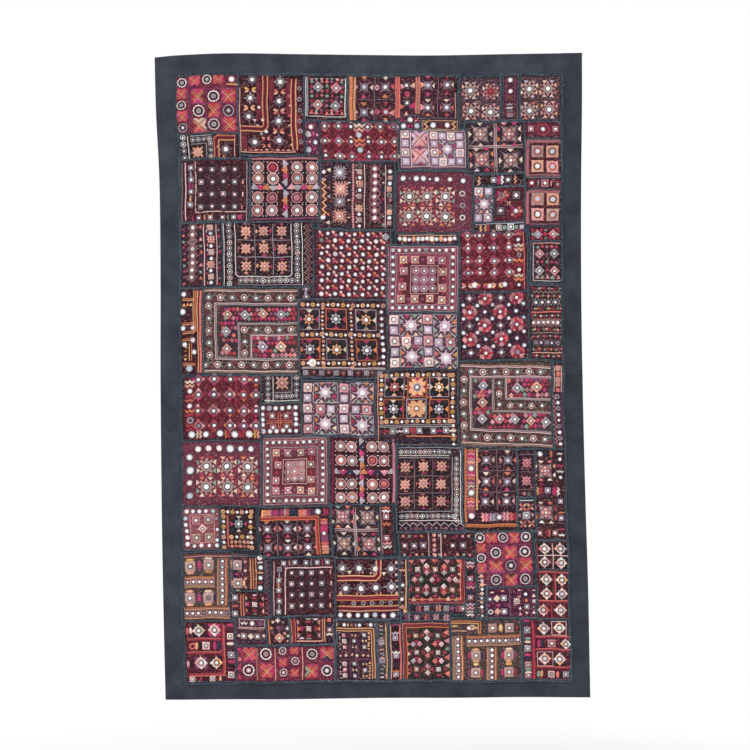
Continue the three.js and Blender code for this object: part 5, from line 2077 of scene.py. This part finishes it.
twin("rc", 2.6, 3, (881, 1226), (955, 1226))
twin("rc", 2.8, 3, (921, 1230), (922, 1292))
twin("rc", 2.6, 3, (882, 1294), (955, 1294))
upright("r", 5, 914, 1297, 1334)
for x, y, dyes in ((902, 1243, "ewPp"), (938, 1243, "jPPw"), (902, 1276, "kPeP"), (938, 1276, "Pgwe"),
                   (895, 1315, "cPPe"), (935, 1315, "ePwP")):
    eye_diamond(x, y, 13.5, dyes, "bx"[int(x) % 2])
sew("eye_diamonds_right", 880, 953, 1222, 1336, "#4a1626", "xfdx", 9)

upright("r", 8, 868, 1341, 1478)
for y in (1378, 1408, 1450):
    twin("rc", 2.6, 3, (872, y), (955, y))
for x, y, dyes, bed in ((893, 1358, "Pwjg", "b"), (930, 1357, "wPej", "x"), (893, 1430, "kPwe", "x"),
                        (928, 1430, "PjwP", "b")):
    eye_diamond(x, y, 14, dyes, bed)
half_moons(885, 1394, 8, "mn")
eye_square(911, 1394, 11, "p")
eye_diamond(944, 1394, 12, "wPjP", "b")
for y in (1352, 1394, 1432, 1466):
    half_moons(854, y - 8, 7, ("mn", "mx", "te", "cn")[int(y) % 4], 90)
    eye_square(854, y + 11 if y < 1460 else y + 2, 8.5, "p" if y > 1400 else "g")
half_moons(882, 1466, 7, "tj")
eye_square(909, 1466, 9.5, "P")
half_moons(928, 1466, 7, "cb")
eye_square(943, 1466, 8, "g")
oblong("P", 1.4, 876, 912, 1414, 1447)
oblong("P", 1.4, 912, 946, 1342, 1374)
sew("eye_diamonds_foot_right", 842, 953, 1338, 1479, "#451626", "xfdx", 9)

twin("rc", 4, 4, (139, 1342), (139, 1462), (56, 1462))
for y in (1378, 1410):
    twin("rc", 2.8, 3.4, (52, y), (134, y))
for x, y, dyes, bed in ((82, 1358, "ewPe", "b"), (119, 1357, "PwPP", "m"), (85, 1434, "wPpe", "v"),
                        (121, 1434, "jPwk", "b")):
    eye_diamond(x, y, 14, dyes, bed)
half_moons(60, 1357, 7, "cP")
half_moons(59, 1436, 7, "pb")
ring(66, 1394, 4, 9, "c", 1.3)
half_moons(80, 1394, 8, "jb")
eye_square(98, 1394, 10.5, "P")
half_moons(124, 1394, 9, "mn")
for y, kind in ((1350, "mx"), (1394, "ed"), (1436, "mb")):
    half_moons(156, y, 8, kind, 90)
for y in (1372, 1416, 1462):
    eye_square(156, y, 9, "gPg"[y % 3])
for x, kind in ((64, ""), (88, "rb"), (112, ""), (134, "jd")):
    if kind:
        half_moons(x, 1472, 6, kind)
    else:
        eye_square(x, 1472, 8, "P")
sew("eye_diamonds_foot_left", 49, 166, 1338, 1480, "#451626", "xfdx", 9)

# ----------------------------------------------------------
# Tan-banded patches: broad bands of rosy tan worked between brown and pale cords and set with
# mirrors; between them tan squares with yellow, cream and magenta half-moons on all sides.

def tan_band(x0, y0, x1, y1, width, pitch):
    """A broad band of rosy tan: chain stitch side by side in dusty dyes, mirrors down its middle."""
    ends = (x0, y0), (x1, y1)
    line("h", width * 0.5, *ends)
    for dyes, size, apart in (("hz", 2.6, 0.62), ("xu", 1.4, 0.8), ("aj", 2.6, 0.98), ("ux", 1.3, 1.16),
                              ("jo", 1.8, 1.32)):
        twin(dyes, size, width * apart, *ends)
    zigzag("a", 1.2, *ends[0], *ends[1], 5, width * 0.33)
    count = round(math.hypot(x1 - x0, y1 - y0) / pitch)
    t = (np.arange(count) + 0.5) / count
    for x, y in zip(x0 + (x1 - x0) * t, y0 + (y1 - y0) * t):
        ring(x, y, 3.0, 6.2, "dx"[int(x + y) % 2], 2.2, sides=14)
        glint(x, y, 3.4, rise=2.1)


def moon_square(x, y, s, dyes):
    """A tan square fanned round a dark-ringed mirror, with a fat half-moon outside each side."""
    pad("square", x, y, s * 1.0, s * 1.06, "h", 0, 0.8)
    pad("cross_star", x, y, s * 1.34, s * 1.34, "a", 45, 1.1)
    ring(x, y, s * 0.4, s * 0.66, "h", 1.7, sides=16, lobe=0.06)
    ring(x, y, s * 0.27, s * 0.5, "d", 1.9, sides=14)
    glint(x, y, s * 0.31, rise=1.8)
    for k, dye in enumerate(dyes):
        if dye in LETTERS:
            spoke("leaf", x, y, s, 90 * k, 1.34, 0.95, 0.4, "vuvu"[k], 90, 0.8)
            spoke("leaf", x, y, s, 90 * k, 1.26, 0.9, 0.32, dye, 90, 1.3)


def lens(x, y, half_x, half_y, dye, under="v"):
    """A pointed almond of satin lying on a longer, darker one."""
    pad("leaf", x, y, half_y, half_x, under, 90, 0.8)
    pad("leaf", x, y, half_y * 0.7, half_x * 0.62, dye, 90, 1.4)


twin("pu", 2.6, 4, (50, 1181), (200, 1181))
for x, y, dyes in ((64, 1206, "_k_y"), (107, 1204, "_y_e"), (64, 1281, "_k_k"), (107, 1281, "nj_e")):
    moon_square(x, y, 12.5, dyes)
for y in (1205, 1281):
    lens(85.5, y, 7, 14, "m")
tan_band(51, 1243, 122, 1243, 18, 14)
tan_band(140, 1188, 140, 1299, 17, 14)
tan_band(50, 1316, 158, 1316, 19, 14)
sew("tan_bands_left", 47, 161, 1176, 1333, "#3a3230", "adqt", 10)

tan_band(690, 1374, 690, 1477, 18, 14)
twin("jo", 3, 5, (675, 1341), (742, 1341), (742, 1368))
level("k", 3, 1362, 676, 712)
row("ow7 0w7 Mj8", 716, 1354, 732, 1354, 7)
row("Mj7", 684, 1351, 684, 1351, 7)
moon_square(773, 1355, 10.5, "____")
lens(793, 1355, 6, 11, "e", "y")
moon_square(813, 1355, 10.5, "____")
lens(831, 1355, 5, 10, "r", "x")
tan_band(710, 1385, 838, 1384, 17, 15)
tan_band(769, 1400, 769, 1477, 17, 12.5)
for x, y, dyes in ((731, 1419, "njmj"), (809, 1419, "vjme"), (731, 1460, "r_v_"), (809, 1460, "r_m_")):
    moon_square(x, y, 11.5, dyes)
lens(731, 1440, 9, 5, "e", "y")
lens(809, 1440, 9, 5, "j", "y")
sew("tan_bands_foot", 674, 841, 1334, 1479, "#3a3230", "adqt", 10)

moon_square(175, 1204, 11.5, "d_j_")
moon_square(176, 1246, 11.5, "j_k_")
lens(175, 1225, 8, 5, "m", "x")
lens(176, 1263, 8, 3, "y", "t")
row("qk4 qt4 qm4 qe4 qn4", 160, 1196, 160, 1256, 4)
twin("jo", 3.0, 6, (209, 1187), (210, 1260))
upright("j", 2, 219, 1187, 1260)
row("ow8 Mw6 ow7 Mj6 ow8 Mr6 ow8", 229, 1186, 229, 1258, 7)
row("qk4 qe4 qk4 qa4", 194, 1196, 194, 1256, 4)
sew("moon_squares_left", 162, 238, 1184, 1263, "#34202a", "rkmu", 8)

# ----------------------------------------------------------
# Star-and-diamond patches: small pale flowers in wreaths of crimson petals, with pairs of
# diamonds in pink, white and salmon between the wreaths, on greenish black.

def wreath(x, y, s, dye, petals_dye="rmrx"):
    """A small square flower with a ringed mirror, two crimson petals on a dark diamond at each of
    its sides, and a black X reaching out."""
    for k in range(4):
        spoke("leaf", x, y, s, 45 + 90 * k, 1.1, 0.62, 0.15, "b", 0, 0.8)
        spoke("diamond", x, y, s, 90 * k, 0.84, 0.34, 0.4, "x", 0, 0.7)
        spoke("leaf", x, y, s, 90 * k, 0.76, 0.38, 0.14, petals_dye[k], 90, 1.2)
        spoke("leaf", x, y, s, 90 * k, 1.0, 0.24, 0.09, "cf"[k % 2], 90, 1.3)
    pad("cross_star", x, y, s * 0.46, s * 0.46, "P" if dye in "gP" else "p", 45, 1.1)
    pad("square", x, y, s * 0.29, s * 0.29, dye, 0, 1.3)
    ring(x, y, s * 0.12, s * 0.22, "x", 1.9, sides=12)
    glint(x, y, s * 0.13, 0, rise=1.9)


def wreaths(across, down, s, dyes):
    """Wreaths in rows, each in a dye of its own."""
    for (x, y), dye in zip([(x, y) for y in down for x in across], dyes):
        wreath(x, y, s, dye)


def pair(x, y, dyes, stacked=True):
    """Two diamonds one above the other, or side by side."""
    s = 7.4
    for side, dye in zip((-1, 1), dyes):
        spot = (x, y + side * s) if stacked else (x + side * s, y)
        pad("diamond", *spot, s * 0.96, s * 1.04, dye, 0, 1.0)
        pad("diamond", *spot, s * 0.36, s * 0.4, "zgp"[int(x + y) % 3], 0, 1.5)


def edged_cord(*points):
    """A crimson band between two salmon cords."""
    cord(points, 8, "x", 0.5)
    line("r", 2.6, *points)
    twin("oc", 2.6, 8.6, *points)


wreaths((599, 640, 681), (1217, 1265), 19.5, "PkgcPk")
for x, y, dyes in ((620, 1217, "Pp"), (661, 1217, "cg"), (620, 1265, "pg"), (661, 1265, "wc")):
    pair(x, y, dyes)
for x, y, dyes in ((599, 1241, "pt"), (640, 1241, "Pr"), (681, 1241, "pP")):
    pair(x, y, dyes, False)
row("^e7 ^c7 ^p7 ^c7 ^P7 ^t7", 590, 1289, 690, 1289, 7)
row("vc8 vp8 vc8 vp8 vc8", 584, 1198, 696, 1198, 8)
row("<p8 <k6 <p8 <k6 <c7", 698, 1208, 698, 1284, 8)
edged_cord((704, 1194), (704, 1291), (578, 1292))
sew("star_diamonds_middle", 577, 711, 1191, 1299, "#272722", "bdf", 9)

edged_cord((566, 1474), (566, 1349), (671, 1349))
wreaths((592, 643), (1373, 1413, 1453), 18, "kgPekw")
for y, dyes in ((1373, "Pw"), (1413, "wc"), (1453, "pP")):
    pair(618, y, dyes)
for y in (1393, 1433):
    pair(592, y, "gp", False)
    pair(643, y, "cP", False)
row("<c8 <p8 <t6 <c8 <k7 <c8", 665, 1366, 665, 1464, 8)
row(">c6 >e6 >p6 >c6", 573, 1392, 573, 1462, 6)
sew("star_diamonds_foot", 560, 673, 1340, 1476, "#272722", "bdf", 9)


def black_cross(x, y, half_x, half_y, sides):
    """A pale flower in a crimson wreath over a black X, triangles all round the edge."""
    for k in (1, 3, 5, 7):
        spoke("leaf", x, y, half_x, 45 * k, 0.72, 0.5, 0.16, "b", 0, 1.1)
    wreath(x, y, half_y * 0.82, "e", "mrmr")
    for k, dye in enumerate(sides):
        turn, aside = 90 * (k // 3), (k % 3 - 1) * 0.62
        reach, span = (half_x, half_y) if k // 3 % 2 == 0 else (half_y, half_x)
        spot = offset(x, y, reach * 0.88, span * aside, turn)
        pad("up", *spot, span * 0.3, reach * 0.16, dye, turn - 90, 1.1)


black_cross(216, 1296, 22, 24, "pokxtxopkxlx")
upright("o", 4, 184, 1272, 1324)
upright("p", 3, 190, 1272, 1324)
row("Bg7 Mc8 Bg7", 170, 1280, 170, 1319, 8)
zigzag("v", 2.6, 247, 1192, 247, 1322, 12, 4)
zigzag("a", 1.8, 242, 1192, 242, 1260, 12, 3)
sew("black_star_left", 160, 254, 1268, 1326, "#35161f", "dxd", 9)

edged_cord((305, 1330), (305, 1386))
black_cross(341, 1355, 28, 25, "kopxtlpopxtl")
level("k", 3.4, 1384, 311, 374)
twin("kj", 2.6, 5, (376, 1330), (376, 1386))
row("qc6 qn6 Bp6 Mw8 qn5", 390, 1335, 390, 1381, 6)
sew("black_star_foot", 299, 403, 1327, 1389, "#35161f", "dxd", 9)

upright("o", 3.6, 248, 1330, 1388)
for x, y, s, dye in ((270, 1334, 7, "P"), (291, 1352, 8, "q"), (271, 1374, 13, "k")):
    pad("diamond", x, y, s, s, dye, 0, 1.1)
    ring(x, y, 2.4, 4.2, "x", 1.8, sides=10)
    glint(x, y, 2.8, 0, rise=1.8)
for x, y, s, dye in ((270, 1351, 7, "v"), (258, 1338, 4, "e"), (282, 1338, 4.5, "q"), (254, 1352, 5, "o"),
                     (256, 1362, 5, "v"), (284, 1364, 5, "p"), (291, 1370, 4, "e"), (290, 1382, 4, "p")):
    pad("diamond", x, y, s, s, dye, 0, 1.0)
sew("small_stars_foot", 243, 298, 1327, 1389, "#211a1f", "dqd", 10)

# ----------------------------------------------------------
# Yellow-checked patch: tiny squares, ringed mirrors and bows between plum lines, double peach
# cords at two sides, and a strip of bars and mirrors above.

row("|e5 |b5 ow6.5 |e5 |o5 |e5 ow6.5 |b5 |o5 ow6.5 |e5", 408, 1346, 496, 1346, 6)
twin("jj", 2.6, 6, (406, 1357), (490, 1357), (491, 1473))
line("u", 2.4, (406, 1357), (490, 1357), (491, 1473))
upright("v", 1.8, (437, 455), 1366, 1407)
upright("v", 1.8, (437, 455), 1430, 1472)
level("v", 2, (1410, 1427), 406, 485)
row("dp4 dP5 dk4 dP5 dk4 dp4", 413, 1418, 480, 1418, 5)
for y in (1370, 1384, 1398, 1438, 1452, 1466):
    pale = int(y) // 14 % 2
    stitch("qp5.5" if pale else "fPq6", 423, y, 6)
    stitch("nke7" if pale else "Bg4.6", 446, y, 6)
    stitch("Bgw5" if pale else "nej7", 470, y, 6)
    row(".w4 .w4", 413, y - 5, 413, y + 5, 4)
    row("^j4 vk4", 481, y - 4, 481, y + 4, 4)
sew("yellow_checks_foot", 402, 499, 1337, 1476, "#241a24", "dqvd", 8)

for k, y in enumerate(np.linspace(1348, 1470, 14)):
    if k not in (4, 9):
        stitch("|" + "kgtgwqkgjgqtgw"[k] + "6", 511, y, 7, 90)
for y in (1386, 1430):
    pad("square", 511, y, 8, 8, "q", 0, 1.0)
    stitch("ow8", 511, y, 8)
upright("j", 3, 522, 1342, 1474)
sew("mirror_strip_foot", 500, 528, 1339, 1476, "#30302e", "qtdw", 7)

upright("k", 3, 533, 1347, 1474)
upright("c", 4.5, 555, 1347, 1474)
row("Mvb9 Ml9 _ qb7 Mw9 _ qn6 Mo9 _", 544, 1352, 544, 1470, 8)
for y in (1378, 1419, 1462):
    eye_square(544, y, 7.5, "l")
sew("square_mirror_strip_foot", 530, 560, 1344, 1476, "#2c141d", "xfd", 8)

# ----------------------------------------------------------
# Odd strips and scraps that fill what is left between the larger patches.

row("Lq9 sl8 Lq9", 346, 556, 348, 573, 7)
sew("dark_scrap_middle", 332, 361, 551, 578, "#262028", "dqsv", 7)

upright("P", 2, (932, 949), 738, 800)
row("fk7 fo6 fk7 fk6 qc6", 941, 745, 941, 796, 6)
row("0g6 ow6 0g6 ow6 ow5 0g6 ow6 0g6 ow6", 941, 811, 943, 922, 6)
zigzag("p", 1.8, 933, 806, 935, 926, 11, 3)
zigzag("v", 1.8, 949, 806, 950, 926, 11, 3)
sew("edge_strip_right", 928, 952, 734, 931, "#2c1a24", "xvd", 8)

twin("jj", 3.0, 9, (84, 556), (84, 655))
upright("o", 4, 84, 556, 655)
line("c", 6, (96, 556), (95, 750))
line("j", 2.6, (90, 655), (89, 750))
for y in (577, 634, 655, 672, 730):
    twin("jo", 2.4, 4, (52, y), (82, y))
twin("jo", 2.4, 5, (72, 680), (70, 722))
row("ow9 _ ow10 _ ow8", 56, 565, 54, 644, 9)
row("ow8 _ ow8 _ ow8", 77, 645, 80, 703, 8)
row("ow8 _ ow10", 58, 684, 68, 741, 8)
row("^j5 ^o5 ^j5", 58, 590, 74, 590, 5)
row("vj4 :j4 :o4 ^j4", 58, 718, 62, 690, 4)
run(".P", 101, 558, 101, 750, 7, 4)
sew("orange_corded_left", 49, 102, 552, 757, "#2c121b", "xdd", 10)

row("Mcw9 Bp7 Mo10 qb7 Bp7 Mpw10 qx6", 530, 1074, 530, 1174, 8)
upright("p", 2, 518, 1068, 1178)
sew("zigzag_strip_middle", 514, 544, 1064, 1181, "#3a1622", "xfd", 8)

for y in (968, 1010):
    stitch("fpr11", 862, y, 11)
row(".t5 .P5", 850, 980, 874, 1024, 4)
for y in (948, 989, 1030):
    level("q", 2.2, y, 844, 880)
row("_ <z6 0t5 _", 846, 1040, 878, 1040, 6)
sew("pink_flowers_right", 842, 881, 939, 1050, "#26141e", "dxmd", 9)

level("w", 2, 1056, 844, 878)
row("xck12 xkc12", 852, 1071, 871, 1071, 11)
pad("square", 861, 1091, 9, 9, "g", 0, 0.7)
pad("cross_star", 861, 1091, 15, 15, "g", 45, 1.0)
ring(861, 1091, 3.4, 5.8, "n", 1.6, sides=12)
ring(861, 1091, 5.8, 7.4, "w", 1.5, sides=12)
glint(861, 1091, 3.5, 0, rise=1.5)
row("xkc11 xck11", 852, 1112, 871, 1112, 10)
row("<k5 _ >k5", 846, 1091, 876, 1091, 5)
sew("coral_petals_right", 842, 880, 1051, 1128, "#1f1a26", "dqd", 9)

row("Mlp10 qb7 _ Mmp10 qn7 _ Mlp10 Mgw9", 723, 1205, 723, 1320, 8)
for y in (1238, 1283):
    eye_square(723, y, 7.5, "p", "g")
upright("x", 2.2, 733, 1198, 1326)
sew("zigzag_strip_right", 712, 736, 1194, 1331, "#321722", "xdd", 8)

row("svc8 spk8 svc8", 600, 1309, 694, 1309, 8)
row("qb6 qd6 qv6", 587, 1309, 680, 1309, 6)
for x in (620, 666, 706):
    eye_square(x, 1309, 7.5, "g", "p")
sew("square_strip_middle", 577, 711, 1300, 1320, "#2c1822", "xdv", 8)

row("svg8 scv8 sgp8", 574, 1330, 666, 1330, 8)
for x in (596, 642):
    eye_square(x, 1330, 7.5, "p", "g")
sew("square_strip_lower", 554, 673, 1321, 1341, "#2c1822", "xdv", 8)

row("Bq4.6 dk6 Bg4.6 dk7 oq6 de6 Bq4.6 qa5 oq6 |k6 Bq4.6", 750, 1223, 750, 1324, 8)
run(":k3 :q3", 743, 1226, 743, 1322, 8, 3)
sew("mirror_strip_right", 738, 761, 1215, 1333, "#262426", "sqd", 8)

row("Bq6 de9 Bg7", 770, 1286, 802, 1286, 6)
row("0w7 dk9 Bg7", 770, 1316, 802, 1316, 6)
row(":e6 _ :k6", 774, 1270, 800, 1268, 6)
row(">m5 _ <m5 _ >m5", 764, 1300, 812, 1302, 5)
upright("q", 1.8, 816, 1262, 1328)
stitch("fPd8", 832, 1293, 8)
row("Bn7 ^o5 Bg6 ve5", 853, 1276, 855, 1322, 6)
row(":P5 ^e5 Bw4 .w5 ^P5", 872, 1268, 872, 1322, 5)
row(":e5 :k5 _ ^w4 ^p5", 838, 1268, 840, 1324, 5)
sew("magenta_squares_right", 762, 879, 1259, 1332, "#3f1832", "vmdx", 8)

oblong("P", 1.8, 178, 238, 1331, 1350)
row("Mw8 ow7 qv7", 189, 1340, 229, 1340, 8)
level("k", 2.2, 1353, 174, 238)
row("Bh7 de8 Bh7 de5", 189, 1370, 236, 1370, 8)
row("<e5", 176, 1370, 176, 1370, 5)
sew("yellow_hexagon_strip", 168, 241, 1328, 1390, "#332030", "dqsv", 8)

upright("j", 3.4, 572, 1192, 1310)
stitch(">j8", 570, 1316, 8)
row("qq5 Mk7 _ ow6 :j4 ow6 Mk7", 563, 1200, 563, 1304, 7)
sew("yellow_corded_strip", 557, 576, 1189, 1320, "#2c1822", "qdj", 7)

# ----------------------------------------------------------
# The couching: fuzzy grey-teal wool laid along every patch's edge and caught down by slanting
# stitches, which closes the channels between the patches and frames the whole field.

YARN_WIDTH = 1.9
INSET = 1.5


def couch(x0, x1, y0, y1, strands=2):
    """Wool round one patch: wavering strands, and a short slanting stitch every so often."""
    round_trip = route([(x0, y0), (x1, y0), (x1, y1), (x0, y1), (x0, y0)], 8)[:-1]
    centre = np.array([(x0 + x1) / 2, (y0 + y1) / 2])
    u, v = (round_trip[:, 0] - x0) / (x1 - x0), (round_trip[:, 1] - y0) / (y1 - y0)
    outward = np.sign(round_trip - centre) * (np.abs(np.stack([u, v], 1) - 0.5) > 0.499)
    for strand in range(strands):
        waver = chance.normal(0.4 + YARN_WIDTH * strand, 0.55, (len(round_trip), 1))
        wool = "5" if strand and int(x0 + y0) % 4 == 0 else "123"[(strand + int(x0)) % 3]
        cord(round_trip + outward * waver, YARN_WIDTH, wool, 1.0, closed=True)
    for k, step in enumerate(np.diff(round_trip, axis=0)):
        if chance.random() < 0.75:
            turn = math.degrees(math.atan2(*step[::-1])) + chance.normal(58, 20)
            spot = round_trip[k] + outward[k] * chance.normal(0.2, 1.6)
            half = chance.uniform(2.2, 5.2)
            pad("diamond", *spot, half, 0.62, "1234"[chance.integers(4)], turn, 2.3)


for box in outlines:
    couch(*box)
couch(LEFT + INSET, WIDTH - RIGHT - INSET, TOP + INSET, HEIGHT - BOTTOM - INSET, 3)
spots, lifts, colours, corners, sizes, ways, hidden = gather()
tint = np.concatenate([colours, np.ones((len(colours), 1))], 1)
flat = drift(*spots.T)
u, v = spots[corners].T / np.array([[WIDTH], [HEIGHT]])
maps = {"OFBake": np.stack([np.where(hidden, 0.76 + u * 0.23, 0.74 * u), v], 1), "stitch": ways}
sewn_on.append(make_piece("couching_yarn", hang(*flat, PANEL_THICKNESS + 0.7 + lifts), corners, sizes,
                          [wool_yarn], tint, maps))


# ----------------------------------------------------------
# Mirrors: thin silvered glass cut in small rounds and caught under the stitched rings. Each is a
# flat ten-sided top over a shallow point that is sunk in the cloth.

def silvered_glass(name, colour, rough):
    """Silvered glass: a metal's mirror, brightest where it faces the room."""
    material, tree, output = finish_material(name)
    shader = add(tree, "ShaderNodeBsdfPrincipled", Base_Color=linear(colour), Metallic=1.0, Roughness=rough)
    tree.links.new(shader.outputs[0], output.inputs["Surface"])
    return material


points = np.concatenate([part.reshape(-1, 3) for part, kind in mirrors])
kinds = np.concatenate([kind for part, kind in mirrors]).astype(int)
i = np.arange(MIRROR_SIDES)
under = np.stack([i, (i + 1) % MIRROR_SIDES, 0 * i + MIRROR_SIDES], 1).ravel()
one = np.concatenate([i[::-1], under])
corners = (one[None] + (MIRROR_SIDES + 1) * np.arange(len(kinds))[:, None]).ravel()
sizes = np.tile([MIRROR_SIDES] + [3] * MIRROR_SIDES, len(kinds))
# Bright silver glass, glass with a painted bluish reflection, and glass that is tarnished and carries a
# painted darker reflection: the room is evenly white, so these colours stand in for what the mirrors
# reflect.
glass_piece = make_piece("mirrors", points, corners, sizes,
                         [silvered_glass("bright_mirror", "#f6f7f8", 0.12),
                          silvered_glass("bluish_mirror", "#c3cfd9", 0.15),
                          silvered_glass("dulled_mirror", "#8d8a90", 0.3)],
                         which=np.repeat(kinds, MIRROR_SIDES + 1))
glass_piece.data.polygons.foreach_set("use_smooth", np.zeros(len(sizes), bool))
sewn_on.append(glass_piece)
